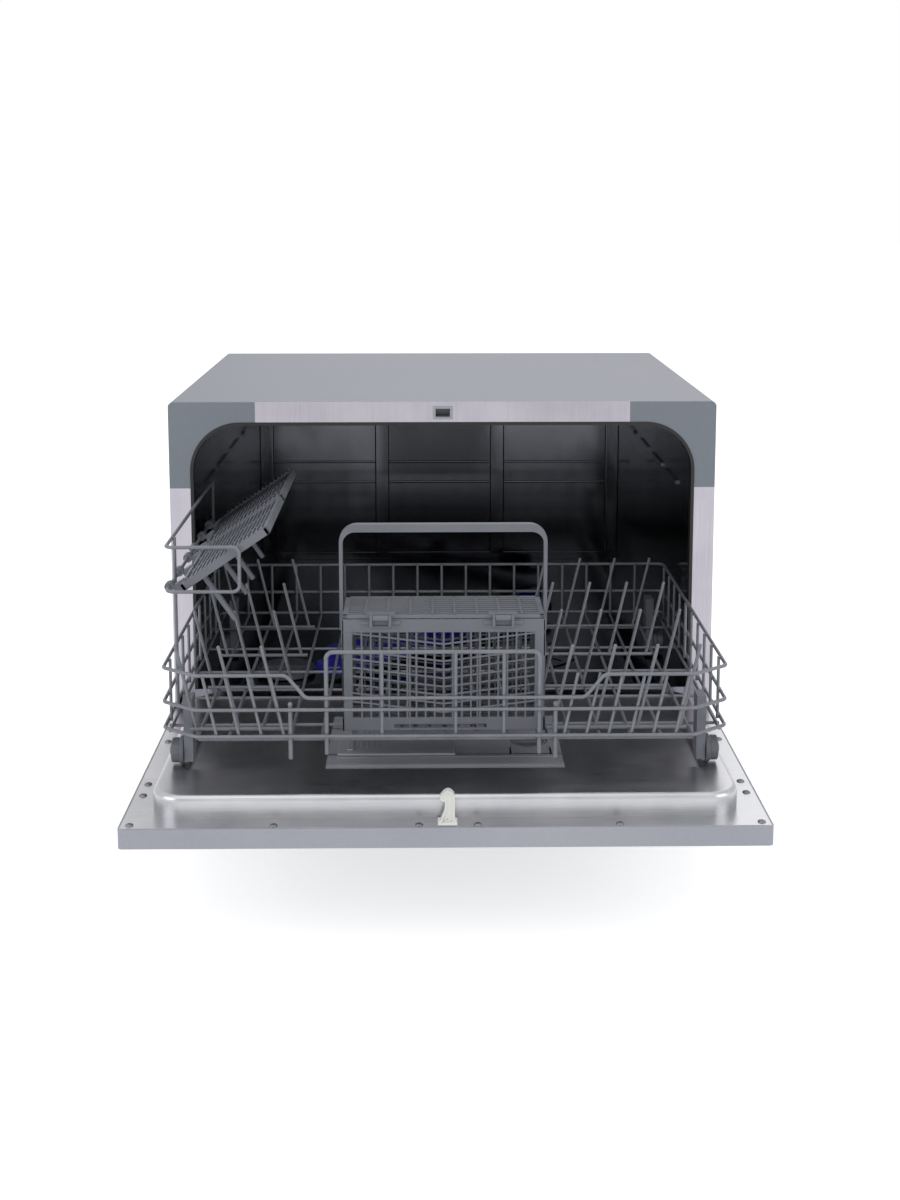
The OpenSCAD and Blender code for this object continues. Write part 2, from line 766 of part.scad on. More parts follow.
// Flat air breather between the tub and the cabinet's side.
module air_breather() home() color([0.85, 0.85, 0.83]) difference() {
    span([-half_w + sheet + seat, breather_y, sill_z + 20],
         [-tub_x - liner - seat, breather_y + breather_len, sill_z + 20 + breather_h]);
    for (i = [0:4])
        span([-half_w, breather_y + 15, sill_z + 40 + i * groove_pitch],
             [-half_w + sheet + 6, breather_y + breather_len - 15, sill_z + 60 + i * groove_pitch]);
}

// Inlet valve with its threaded port through the rear cover.
module inlet_valve() home() color([0.88, 0.88, 0.86]) {
    translate([inlet_x, body_d + port_len, port_z]) rotate([90, 0, 0]) difference() {
        union() {
            cylinder(h = port_len, r = inlet_r);
            cylinder(h = port_len + sheet + 10, r = inlet_r - 1);
        }
        translate([0, 0, -1]) cylinder(h = 13, r = inlet_r - 3.4);
    }
    span([inlet_x - 18, body_d - sheet - 52, port_z - 16],
        [inlet_x + 18, body_d - sheet - 8, port_z + 16]);
    span([inlet_x - 12, body_d - sheet - 44, tray_top], [inlet_x + 12, body_d - sheet - 34, port_z - 15]);
}

// Drain port through the rear cover.
module drain_port() home() color([0.2, 0.21, 0.22]) difference() {
    union() {
        translate([outlet_x, body_d + port_len, port_z]) rotate([90, 0, 0])
            cylinder(h = port_len, r = outlet_r);
        translate([outlet_x, body_d + port_len, port_z]) rotate([90, 0, 0])
            cylinder(h = port_len + 40, r = outlet_r - 1);
        span([outlet_x - 14, body_d - sheet - seat - 4, port_z - 14],
            [outlet_x + 14, body_d - sheet - seat, port_z + 14]);
    }
    translate([outlet_x, body_d + port_len + 1, port_z]) rotate([90, 0, 0])
        cylinder(h = port_len + 60, r = outlet_r - 2);
}

// Strain relief bush for the mains lead.
module cord_gland() home() color([0.05, 0.05, 0.06]) difference() {
    union() {
        translate([gland_x, body_d + 7, port_z]) rotate([90, 0, 0]) cylinder(h = 7 + sheet + 6, r = 9);
        translate([gland_x, body_d + 3, port_z]) rotate([90, 0, 0]) cylinder(h = 3, r = 12);
        translate([gland_x, body_d - sheet - seat, port_z]) rotate([90, 0, 0]) cylinder(h = 3, r = 12);
    }
    translate([gland_x, body_d + 8, port_z]) rotate([90, 0, 0]) cylinder(h = 40, r = 3.6);
}

// Latch and hinges

// Door latch behind the top of the front frame, with its bezel.
module latch() home() color([0.16, 0.16, 0.18]) difference() {
    union() {
        span([-latch_x - 1, -1, latch_z0 - 0.8], [latch_x + 1, 0, latch_z1 + 0.8]);
        span([-latch_x + seat, -0.5, latch_z0 + seat], [latch_x - seat, 26, latch_z1 - seat]);
    }
    span([-latch_x + 1.8, -2, latch_z0 + 1.6], [latch_x - 1.8, 20, latch_z1 - 1.6]);
}

// Steel arms from the door into the cabinet.
module hinge_arms() home() color([0.55, 0.56, 0.58]) both() difference() {
    union() {
        span([half_w - 10, door_y1 - 60, pan_z + 3], [half_w - 8, arm_end, door_z - sheet - seat]);
        span([half_w - 10, -1, door_z - 6], [half_w - 8, arm_end, hinge_top]);
    }
    translate([half_w - 11, pin_y, pin_z]) rotate([0, 90, 0]) cylinder(h = 5, r = pin_r + axle_fit);
}

// Hinge plates with their pivot pins.
module hinge_brackets() home() color([0.5, 0.51, 0.53]) both() {
    span([half_w - 13.5, sheet, tray_z + tray_h + 1], [half_w - 11.5, 60, door_z + 22]);
    translate([half_w - 12, pin_y, pin_z]) rotate([0, 90, 0]) cylinder(h = 5, r = pin_r);
}

// Balance springs of the door, inside the cabinet's sides.
module door_springs() home() color([0.4, 0.41, 0.43]) both() {
    translate([half_w - 7.2, spring_y, spring_z]) rotate([-90, 0, 0]) cylinder(h = spring_len, r = spring_r);
    span([half_w - 11.4, spring_y - 8, spring_z - 3], [half_w - 8, spring_y + 1, spring_z + 3]);
    span([half_w - 11.4, spring_y + spring_len - 1, spring_z - 3],
         [half_w - sheet - seat, spring_y + spring_len + 5, spring_z + 3]);
}

// The door

// Painted outer pan of the door with its pressed finger grip.
module door_outer() home() color([0.58, 0.59, 0.63]) difference() {
    union() {
        difference() {
            translate([0, 0, pan_z]) linear_extrude(door_t)
                round_rect(-half_w, door_y0, half_w, door_y1, rim_r, 0);
            translate([0, 0, pan_z + sheet]) linear_extrude(door_t)
                round_rect(-half_w + sheet, door_y0 + sheet, half_w - sheet, door_y1 - sheet,
                    rim_r - sheet, 0);
        }
        span([-grip_x - sheet, grip_y - grip_w / 2 - sheet, pan_z],
            [grip_x + sheet, grip_y + grip_w / 2 + sheet, pan_z + grip_h]);
    }
    span([-fascia_w / 2, fascia_y0, pan_z - 1], [fascia_w / 2, fascia_y0 + fascia_d, pan_z + 2 * sheet]);
    span([-grip_x, grip_y - grip_w / 2, pan_z - 1],
        [grip_x, grip_y + grip_w / 2, pan_z + grip_h - sheet]);
    both() span([half_w - 10.3, door_y1 - 2 * sheet, pan_z + 2.7],
        [half_w - 7.7, door_y1 + 1, door_z + 1]);
}

// Stainless inner panel with its raised, recessed middle.
module door_inner() home() color([0.68, 0.68, 0.7]) difference() {
    union() {
        span([-half_w + sheet + seat, door_y0 + sheet + seat + 1, door_z - sheet],
             [half_w - sheet - seat, door_y1 - sheet - seat, door_z]);
        translate([0, 0, door_z - sheet]) linear_extrude(panel_h + sheet)
            round_rect(-panel_x, panel_y0, panel_x, panel_y1, panel_r, 0);
    }
    difference() {
        translate([0, 0, door_z - 2 * sheet]) linear_extrude(panel_h + sheet)
            round_rect(-panel_x + sheet, panel_y0 + sheet, panel_x - sheet, panel_y1 - sheet,
                panel_r - sheet, 0);
        span([-recess_x - sheet, recess_y0 - sheet, recess_z - sheet],
            [recess_x + sheet, 0, plateau_z + 1]);
    }
    span([-recess_x, recess_y0, recess_z], [recess_x, 1, plateau_z + 1]);
    span([-disp_w / 2, disp_y0, door_z], [disp_w / 2, disp_y1, plateau_z]);
    for (p = screw_spots()) translate([p[0], p[1], door_z - 3]) cylinder(h = 6, r = 2);
    span([hook_x - 3, panel_y0 - 14, door_z - 3], [hook_x + 3, panel_y0 - 6, door_z + 1]);
}

function screw_spots() = concat(
    [for (x = [-145, -23, 26.5, 146]) [x, door_y0 + 7]],
    [for (s = [-1, 1], y = [9, 73, 99, 206.5]) [s * (half_w - 9), door_y0 + y]]
);

// Screws that hold the inner panel to the outer pan.
module door_screws() home() color([0.7, 0.7, 0.72]) for (p = screw_spots()) translate([p[0], p[1], 0]) {
    translate([0, 0, door_z]) cylinder(h = 1.4, d = screw_d);
    translate([0, 0, door_z - 9]) cylinder(h = 9.5, r = 1.8);
}

// Detergent dispenser with its powder cup and rinse aid well.
module dispenser() home() color([0.5, 0.51, 0.55]) difference() {
    union() {
        span([-disp_w / 2 + seat, disp_y0 + seat, pan_z + sheet + 2],
            [disp_w / 2 - seat, disp_y1 - seat, recess_z]);
        span([-disp_w / 2 - 3, disp_y0 - 3, recess_z + touch], [disp_w / 2 + 3, disp_y1 + 3, disp_z]);
        span([-disp_w / 2 + seat, disp_y0 + seat, recess_z - 1],
            [disp_w / 2 - seat, disp_y1 - seat, disp_z]);
    }
    span([lid_x0 + cup_wall, lid_y0 + cup_wall, disp_z - cup_h],
        [lid_x0 + lid_w - cup_wall, lid_y0 + lid_d - cup_wall, disp_z + 1]);
    translate([rinse_x, rinse_y, disp_z - 8]) cylinder(h = 20, r = rinse_d / 2 + run);
    translate([rinse_x, rinse_y, disp_z - cup_h]) cylinder(h = 20, r = 8);
}

// Lid that slides aside over the powder cup.
module dispenser_lid() home() color([0.56, 0.57, 0.61]) {
    span([lid_x0, lid_y0, disp_z + run], [lid_x0 + lid_w, lid_y0 + lid_d, disp_z + run + lid_t]);
    span([lid_x0 + 8, lid_y0 + 8, disp_z + run + lid_t],
        [lid_x0 + 14, lid_y0 + lid_d - 8, disp_z + run + lid_t + 1.6]);
}

// Quarter-turn cap of the rinse aid well.
module rinse_cap() home() color([0.35, 0.36, 0.4]) translate([rinse_x, rinse_y, 0]) difference() {
    union() {
        translate([0, 0, disp_z - 8 + run]) cylinder(h = 7.4, r = rinse_d / 2);
        translate([0, 0, disp_z - cup_h + 2]) cylinder(h = cup_h - 8, r = 8 - axle_fit);
    }
    for (s = [-1, 1])
        span([-rinse_d / 2 + 4, s * 8 - 5, disp_z - 4], [rinse_d / 2 - 4, s * 8 + 5, disp_z + 1]);
}

// White plastic hook that enters the latch when the door is shut.
module striker() home() color([0.93, 0.93, 0.92]) translate([hook_x, 0, 0]) {
    span([-hook_w / 2 - 4, panel_y0 - 17, door_z + touch], [hook_w / 2 + 4, panel_y0 - 2, door_z + 2]);
    span([-hook_w / 2 + 2, panel_y0 - 12, door_z + 1], [hook_w / 2 - 2, panel_y0 - 8, door_z + hook_h]);
    span([-hook_w / 2, panel_y0 - 16, door_z + hook_h - 5], [hook_w / 2, panel_y0 - 8, door_z + hook_h]);
    span([-2.8, panel_y0 - 13.8, door_z - sheet - 3], [2.8, panel_y0 - 6.2, door_z + 1]);
}

// Circuit board behind the control strip.
module control_board() home() color([0.1, 0.3, 0.18]) {
    span([-fascia_w / 2 + 12, fascia_y0 + 3, pan_z + 6.5],
        [fascia_w / 2 - 12, fascia_y0 + fascia_d - 3, pan_z + 8.1]);
    for (i = [0:button_count - 1])
        translate([button_x0 + i * button_pitch, button_y, switch_z])
            cylinder(h = pan_z + 7 - switch_z, r = 3);
    for (s = [-1, 1], y = [fascia_y0 + 6, fascia_y0 + fascia_d - 6])
        translate([s * (fascia_w / 2 - 18), y, pan_z + 2]) cylinder(h = 4.6, r = 2);
}

// Control strip set into the outer pan, with the buttons' holes and the window.
module fascia() home() color([0.07, 0.07, 0.08]) difference() {
    union() {
        span([-fascia_w / 2 + seat, fascia_y0 + seat, pan_z - 0.4],
            [fascia_w / 2 - seat, fascia_y0 + fascia_d - seat, pan_z + sheet]);
        span([-fascia_w / 2 - 3, fascia_y0 - 2, pan_z + sheet + touch],
            [fascia_w / 2 + 3, fascia_y0 + fascia_d + 3, pan_z + 2]);
        span([-fascia_w / 2 + seat, fascia_y0 + seat, pan_z],
            [fascia_w / 2 - seat, fascia_y0 + fascia_d - seat, pan_z + 2]);
    }
    for (i = [0:button_count - 1])
        translate([button_x0 + i * button_pitch, button_y, pan_z - 2])
            cylinder(h = 8, d = button_d + 2 * run);
    span([window_x0, button_y - 9, pan_z - 2], [window_x0 + window_w, button_y + 9, pan_z + 3]);
}

// Smoked window of the display.
module display() home() color([0.03, 0.03, 0.04])
    span([window_x0 + seat, button_y - 9 + seat, pan_z - 0.3],
        [window_x0 + window_w - seat, button_y + 9 - seat, pan_z + 2.2]);

// One push button: its cap stands below the strip and its collar behind it.
module push_button(i) home() color([0.75, 0.76, 0.78])
    translate([button_x0 + i * button_pitch, button_y, 0]) {
    translate([0, 0, pan_z - 1.6]) cylinder(h = button_top - pan_z + 1.6, d = button_d);
    translate([0, 0, pan_z + 2 + run]) cylinder(h = button_top - pan_z - 2 - run, d = button_d + 4);
}

module button_1() push_button(0);
module button_2() push_button(1);
module button_3() push_button(2);
module button_4() push_button(3);

// The rack

// Level grid of the rack's floor.
module rack_floor() home() color([0.5, 0.51, 0.53]) {
    n = floor((rack_x - 4) / floor_pitch);
    for (i = [-n:n]) {
        x = i * floor_pitch;
        y = abs(x) > rack_x - chamfer_x ? rack_y0 + chamfer_y : inner_y + 0.4 + post_d / 2 + run;
        wire([x, y, floor_wz], [x, rack_y1 + 1, floor_wz], bar_d);
    }
    for (y = cross_spots())
        wire([-rack_x + 1, y, cross_z], [rack_x - 1, y, cross_z], bar_d);
    wire([chamfer_x - rack_x, rack_y0 + 9, cross_z], [rack_x - chamfer_x, rack_y0 + 9, cross_z], bar_d);
}

function cross_spots() = [
    axle_yf + bracket_y + bar_d / 2 + seat, rack_y0 + 120, rack_y0 + 198, rack_y0 + 276,
    axle_yr - bracket_y - bar_d / 2 - seat
];

// Front of the rack: loops with slanted corners, slanted bars, basket rail and short legs.
module rack_front() home() color([0.5, 0.51, 0.53]) {
    for (z = [loop_1, loop_2])
        bent_level(z, [
            [-rack_x, side_y0], [-rack_x, rack_turn_y], [-rack_x + chamfer_x, rack_y0],
            [rack_x - chamfer_x, rack_y0], [rack_x, rack_turn_y], [rack_x, side_y0]
        ], wire_d);
    both() bent_level(loop_3, [
        [rack_x - chamfer_x - 30, rack_y0], [rack_x - chamfer_x, rack_y0],
        [rack_x, rack_turn_y], [rack_x, side_y0]
    ], wire_d);
    bent_front(rack_y0, [
        [-(rack_x - chamfer_x - 30), loop_3], [-dip_x - 17, loop_3], [-dip_x, dip_z],
        [dip_x, dip_z], [dip_x + 17, loop_3], [rack_x - chamfer_x - 30, loop_3]
    ], wire_d);
    bent_front(inner_y + 0.4, [
        [rail_xl, loop_1 - 17], [rail_xl, rail_z], [rail_xr, rail_z], [rail_xr, loop_1 - 17]
    ], post_d, 6);
    for (x = [-55.3, 8.8, 50.7])
        wire([x, inner_y, loop_1 - 1], [x, inner_y, rail_z], bar_d + 0.4);
    for (x = [-135, 95.6])
        wire([x, inner_y + 0.3, loop_1 - 20], [x, inner_y + 0.3, loop_2 + 4], post_d);
    for (i = [0:3])
        lean_bar(-199 + i * bar_pitch, -1);
    for (i = [0:5])
        lean_bar(200.5 - i * bar_pitch, 1);
}

module lean_bar(x, s) {
    wire([x, inner_y, loop_1 - 1.2], [x + s * bar_lean, inner_y, loop_3 + 0.6], bar_d);
}

// Both sides of the rack.
module rack_sides() home() color([0.5, 0.51, 0.53]) both() {
    for (z = [loop_1, loop_2, loop_3])
        wire([rack_x, side_y0, z], [rack_x, rack_y1 - bend_r, z], wire_d);
    for (i = [0:9])
        wire([inner_x, side_y0 + 14 + i * 36, loop_1 - 1.2],
            [inner_x, side_y0 + 14 + i * 36, loop_3 + 1.2], bar_d);
}

// Back of the rack.
module rack_back() home() color([0.5, 0.51, 0.53]) {
    for (z = [loop_1, loop_2, loop_3])
        bent_level(z, [
            [-rack_x, rack_y1 - bend_r], [-rack_x, rack_y1], [rack_x, rack_y1], [rack_x, rack_y1 - bend_r]
        ], wire_d, bend_r);
    for (i = [-8:8])
        wire([i * floor_pitch, rack_y1 - wire_d / 2 - bar_d / 2 + 0.4, loop_1 - 0.8],
             [i * floor_pitch, rack_y1 - wire_d / 2 - bar_d / 2 + 0.4, loop_3 + 1.2], bar_d);
}

// Rows of leaning tines on their own cross wires.
module rack_tines() home() color([0.47, 0.48, 0.5]) {
    for (y = tine_rows()) {
        tine_row(y, [for (i = [0:2]) -219 + i * tine_pitch], -1);
        tine_row(y, [for (i = [0:3]) 94.5 + i * tine_pitch], 1);
    }
}

function tine_rows() = [rack_y0 + 20, rack_y0 + 134, rack_y0 + 236, rack_y0 + 338];

module tine_row(y, xs, s) {
    n = len(xs);
    wire([xs[0] - 6, y, tine_z], [xs[n - 1] + 6, y, tine_z], tine_d);
    for (x = xs)
        wire([x, y, tine_z], [x + s * tine_lean, y, tine_z + tine_h], tine_d - 0.4);
}

// The wheels

module wheel_spots(which) {
    spots = [[-1, axle_yf], [1, axle_yf], [-1, axle_yr], [1, axle_yr]];
    for (i = which) {
        s = spots[i];
        translate([0, s[1], wheel_z]) mirror([s[0] < 0 ? 1 : 0, 0, 0]) children();
    }
}

// Four clip-on brackets with the wheels' axles.
module wheel_brackets() home() color([0.42, 0.43, 0.46]) wheel_spots([0, 1, 2, 3]) {
    span([bracket_x - bracket_w, -bracket_y, -8], [bracket_x, bracket_y, loop_2 + 2 - wheel_z]);
    translate([bracket_x - 1, 0, 0]) rotate([0, 90, 0])
        cylinder(h = disc_w + tread_w + 1.5 + run, r = axle_r);
    translate([bracket_x + disc_w + tread_w + 0.5 + run, 0, 0]) rotate([0, 90, 0])
        cylinder(h = 1, r = axle_r + 1);
}

// Wheel with a guide disc and a tread.
module rack_wheel() {
    difference() {
        union() {
            translate([wheel_x, 0, 0]) rotate([0, 90, 0]) cylinder(h = disc_w, d = wheel_d);
            translate([wheel_x + disc_w - 0.1, 0, 0]) rotate([0, 90, 0])
                cylinder(h = tread_w + 0.1 - 0.3, d = tread_d);
        }
        translate([wheel_x - 1, 0, 0]) rotate([0, 90, 0])
            cylinder(h = disc_w + tread_w + 3, r = axle_r + axle_fit);
        for (a = [0:60:300]) rotate([a, 0, 0])
            translate([wheel_x - 1, (tread_d + 2 * axle_r) / 4 + 0.5, 0]) rotate([0, 90, 0])
                cylinder(h = 2.5, r = 1.8);
    }
}

module wheel_fl() home() color([0.36, 0.37, 0.4]) wheel_spots([0]) rack_wheel();
module wheel_fr() home() color([0.36, 0.37, 0.4]) wheel_spots([1]) rack_wheel();
module wheel_rl() home() color([0.36, 0.37, 0.4]) wheel_spots([2]) rack_wheel();
module wheel_rr() home() color([0.36, 0.37, 0.4]) wheel_spots([3]) rack_wheel();

// The cup shelf

// Wire frame at the left side that carries the shelf.
module shelf_frame() home() color([0.5, 0.51, 0.53]) {
    bent_front(frame_y, [
        [hinge_x + bend_r, hinge_z], [hinge_x + frame_w, hinge_z],
        [hinge_x + frame_w, hinge_z + frame_h], [hinge_x + bend_r, hinge_z + frame_h]
    ], wire_d, 6);
    for (z = [hinge_z, hinge_z + frame_h])
        bent_level(z, [
            [hinge_x + bend_r, frame_y], [hinge_x, frame_y], [hinge_x, frame_y1]
        ], wire_d, bend_r);
    for (y = [frame_y + 35, frame_y1 - 18])
        wire([hinge_x + wire_d / 2 + bar_d / 2 - 0.4, y, floor_top + touch],
             [hinge_x + wire_d / 2 + bar_d / 2 - 0.4, y, hinge_z + frame_h + 1.4], bar_d + 0.4);
}

// Tilted lattice shelf that folds up about the frame's lower rail.
module cup_shelf(y0) {
    cell_u = (shelf_w - 2 * shelf_rim + shelf_rib) / shelf_rows;
    cell_y = (shelf_len - 2 * shelf_rim + shelf_rib) / shelf_cells;
    low = -shelf_drop - shelf_t;
    leg_u = shelf_in + shelf_rim + cell_u - shelf_rib;
    translate([hinge_x, y0, hinge_z]) rotate([0, -shelf_tilt, 0]) difference() {
        union() {
            difference() {
                span([shelf_in, 0, low], [shelf_in + shelf_w, shelf_len, -shelf_drop]);
                for (i = [0:shelf_rows - 1], j = [0:shelf_cells - 1]) {
                    a = shelf_in + shelf_rim + i * cell_u;
                    b = shelf_rim + j * cell_y;
                    span([a, b, low - 1], [a + cell_u - shelf_rib, b + cell_y - shelf_rib, 1]);
                }
            }
            for (y = [12, (shelf_len - knuckle_w) / 2, shelf_len - 12 - knuckle_w]) {
                translate([0, y, 0]) rotate([-90, 0, 0]) cylinder(h = knuckle_w, r = knuckle_r);
                span([0, y, low], [shelf_in + 2, y + knuckle_w, -1]);
            }
            for (y = [22, shelf_len - 22 - leg_w])
                span([leg_u, y, -shelf_leg], [leg_u + shelf_rib, y + leg_w, low + 1]);
        }
        translate([0, -1, 0]) rotate([-90, 0, 0]) cylinder(h = shelf_len + 2, r = wire_d / 2 + axle_fit);
    }
}

module shelf_front() home() color([0.44, 0.45, 0.48]) cup_shelf(shelf_y0);
module shelf_rear() home() color([0.44, 0.45, 0.48]) cup_shelf(shelf_y0 + shelf_len + shelf_gap);

// The cutlery basket

// Lattice basket with chevron slats in its windows, two dividers and the ears of its lid's hinge.
module basket() home() color([0.43, 0.44, 0.47]) difference() {
    union() {
        difference() {
            span([basket_x0, basket_y0, basket_z], [basket_x1, basket_y1, rim_z]);
            span([basket_x0 + basket_t, basket_y0 + basket_t, basket_z + basket_t],
                 [basket_x1 - basket_t, basket_y1 - basket_t, rim_z + 1]);
            span([basket_x0 + win_side, basket_y0 - 1, win_z0],
                [basket_x1 - win_side, basket_y1 + 1, win_z1]);
            span([basket_x0 - 1, basket_y0 + side_in, win_z0],
                [basket_x1 + 1, basket_y1 - side_in, win_z1 - 22]);
            for (i = [0:7], j = [0:3]) {
                a = basket_x0 + 10 + i * (basket_w - 16) / 8;
                b = basket_y0 + 7 + j * (basket_d - 11) / 4;
                span([a, b, basket_z - 1], [a + (basket_w - 16) / 8 - 4,
                    b + (basket_d - 11) / 4 - 3, basket_z + basket_t + 1]);
            }
        }
        for (y = [basket_y0 + 0.4, basket_y1 - basket_t + 0.4]) {
            for (i = [1:window_bars - 1]) {
                x = basket_x0 + win_side + i * (basket_w - 2 * win_side) / window_bars;
                span([x - 1, y, win_z0 - 1], [x + 1, y + basket_t - 0.8, win_z1 + 1]);
            }
            for (z = [win_z0 + 26:20:win_z1 - 4])
                chevron(y + 0.2, z, basket_t - 1.2);
        }
        for (e = [basket_x0 + 0.4, basket_x1 - basket_t + 0.4], z = [win_z0 + 16, win_z0 + 36])
            span([e, basket_y0 + side_in - 1, z],
                [e + basket_t - 0.8, basket_y1 - side_in + 1, z + slat_w]);
        for (f = [1, 2])
            span([basket_x0 + f * basket_w / 3 - 1, basket_y0 + 1, basket_z + 1],
                 [basket_x0 + f * basket_w / 3 + 1, basket_y1 - 1, rim_z - 30]);
        for (x = lid_hinges()) {
            for (e = [x - hinge_half - ear_w, x + hinge_half]) {
                span([e, basket_y0 - lid_axis_y - ear_r, rim_z - 6], [e + ear_w, basket_y0 + 1, rim_z]);
                span([e, basket_y0 - lid_axis_y - ear_r, rim_z - 1],
                    [e + ear_w, basket_y0 - lid_axis_y + ear_r, rim_z + lid_axis_z + ear_r]);
            }
            translate([x - hinge_half - 1, basket_y0 - lid_axis_y, rim_z + lid_axis_z]) rotate([0, 90, 0])
                cylinder(h = 2 * hinge_half + 2, r = blid_pin);
        }
    }
    for (x = [basket_x0 - 1, basket_x1 - basket_t - 1])
        translate([x, handle_y, rim_z - 9]) rotate([0, 90, 0])
            cylinder(h = basket_t + 2, r = 2.5 + axle_fit);
}

function lid_hinges() = [basket_x - 55, basket_x + 52];

// Slat that falls from both sides of the window to its middle.
module chevron(y, z, t) {
    half = basket_w / 2 - win_side;
    for (s = [0, 1])
        translate([basket_x, y, z - chevron_drop]) mirror([s, 0, 0])
            rotate([0, -atan2(chevron_drop, half), 0])
            translate([-slat_w, 0, 0]) cube([norm([half, chevron_drop]) + slat_w + 1, t, slat_w]);
}

// Arched handle snapped into the basket's ends.
module basket_handle() home() color([0.43, 0.44, 0.47]) {
    upright(handle_y - 4, handle_y + 4) difference() {
        round_rect(basket_x0 - 3.2, rim_z - 18, basket_x1 + 3.2, rim_z + handle_h, 0, 16);
        round_rect(basket_x0 - seat, rim_z - 19, basket_x1 + seat, rim_z + handle_h - 7, 0, 11);
    }
    for (s = [-1, 1])
        translate([basket_x + s * (basket_w / 2 + 1), handle_y, rim_z - 9]) rotate([0, -s * 90, 0])
            cylinder(h = basket_t + 1, r = 2.5);
}

// Slotted lid hinged at the basket's front rim.
module basket_lid() home() color([0.43, 0.44, 0.47]) difference() {
    union() {
        difference() {
            span([basket_x0 + 1, basket_y0 + 1, rim_z + run],
                [basket_x1 - 1, basket_y1 - 0.5, rim_z + run + blid_t]);
            for (i = [0:6], j = [0:5]) {
                a = basket_x0 + 6 + i * (basket_w - 8) / 7;
                b = basket_y0 + 5 + j * (basket_d - 8) / 6;
                span([a, b, rim_z], [a + (basket_w - 8) / 7 - 4, b + (basket_d - 8) / 6 - 3.4,
                    rim_z + 9]);
            }
        }
        for (x = lid_hinges()) {
            translate([x - hinge_half + run, basket_y0 - lid_axis_y, rim_z + lid_axis_z])
                rotate([0, 90, 0])
                cylinder(h = 2 * (hinge_half - run), r = 2.6);
            span([x - hinge_half + run, basket_y0 - lid_axis_y, rim_z + run],
                 [x + hinge_half - run, basket_y0 + 3, rim_z + run + blid_t]);
        }
    }
    translate([basket_x0, basket_y0 - lid_axis_y, rim_z + lid_axis_z]) rotate([0, 90, 0])
        cylinder(h = basket_w, r = blid_pin + axle_fit);
}

outer_wrap();
rear_cover();
base_tray();
feet();
kick_plate();
front_frame();
gasket();
tub_wrap();
tub_back();
tub_floor();
sump();
filter_plate();
coarse_filter();
micro_filter();
spray_hub();
spray_arm();
spray_nut();
wash_pump();
drain_pump();
heater();
softener();
salt_cap();
air_breather();
inlet_valve();
drain_port();
cord_gland();
latch();
hinge_arms();
hinge_brackets();
door_springs();
door_outer();
door_inner();
door_screws();
dispenser();
dispenser_lid();
rinse_cap();
striker();
control_board();
fascia();
display();
button_1();
button_2();
button_3();
button_4();
rack_floor();
rack_front();
rack_sides();
rack_back();
rack_tines();
wheel_brackets();
wheel_fl();
wheel_fr();
wheel_rl();
wheel_rr();
shelf_frame();
shelf_front();
shelf_rear();
basket();
basket_handle();
basket_lid();
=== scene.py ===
"""Looks of the countertop dishwasher: finishes for its solids, and finely shaped pieces over them.

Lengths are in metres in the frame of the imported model: X across the machine, Y into it, Z up.
"""
import logging
import math
from dataclasses import dataclass
from enum import Enum

import bmesh
import bpy
from mathutils import Matrix, Vector


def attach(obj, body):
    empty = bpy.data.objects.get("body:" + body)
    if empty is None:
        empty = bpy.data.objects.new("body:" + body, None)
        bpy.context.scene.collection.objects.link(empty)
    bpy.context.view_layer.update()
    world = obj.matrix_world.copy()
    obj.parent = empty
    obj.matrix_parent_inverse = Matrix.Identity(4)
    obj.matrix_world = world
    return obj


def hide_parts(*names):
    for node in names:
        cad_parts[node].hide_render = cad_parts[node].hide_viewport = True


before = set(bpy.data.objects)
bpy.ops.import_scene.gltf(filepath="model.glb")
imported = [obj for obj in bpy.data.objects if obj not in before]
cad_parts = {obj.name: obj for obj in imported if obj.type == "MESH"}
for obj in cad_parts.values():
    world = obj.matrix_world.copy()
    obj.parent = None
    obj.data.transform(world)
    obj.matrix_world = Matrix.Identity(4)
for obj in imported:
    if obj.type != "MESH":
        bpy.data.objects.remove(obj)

LOG = logging.getLogger("dishwasher")
MM = 0.001


class Axis(Enum):
    """Direction that a pattern is drawn out along."""

    X = 0
    Y = 1
    Z = 2


def linear(hex_colour: str) -> tuple[float, float, float, float]:
    """Turns an sRGB hex colour to linear.

    Args:
        hex_colour: Six hex digits, with or without a leading #.

    Returns:
        Red, green, blue and an alpha of 1.
    """
    digits = hex_colour.lstrip("#")
    parts = [int(digits[i : i + 2], 16) / 255 for i in (0, 2, 4)]
    bent = [c / 12.92 if c <= 0.04045 else ((c + 0.055) / 1.055) ** 2.4 for c in parts]
    return (bent[0], bent[1], bent[2], 1.0)


def add(tree: bpy.types.NodeTree, kind: str, settings: dict | None = None,
        links: dict | None = None) -> bpy.types.Node:
    """Adds a node with its settings and links.

    Args:
        tree: Tree that gets the node.
        kind: Blender's name of the node type.
        settings: Values by property name, or by input name or number.
        links: Output sockets by input name or number.

    Returns:
        The new node.
    """
    node = tree.nodes.new(kind)
    for key, value in (settings or {}).items():
        if isinstance(key, str) and hasattr(node, key):
            setattr(node, key, value)
        else:
            node.inputs[key].default_value = value
    for key, source in (links or {}).items():
        tree.links.new(source, node.inputs[key])
    return node


def fresh(name: str) -> bpy.types.Material:
    """Makes an empty material that uses nodes."""
    material = bpy.data.materials.new(name)
    material.use_nodes = True
    material.node_tree.nodes.clear()
    return material


def grain_scale(spacing_mm: float) -> float:
    """Gives the noise scale, in cycles per metre, of a pattern with this spacing."""
    return 1000.0 / spacing_mm


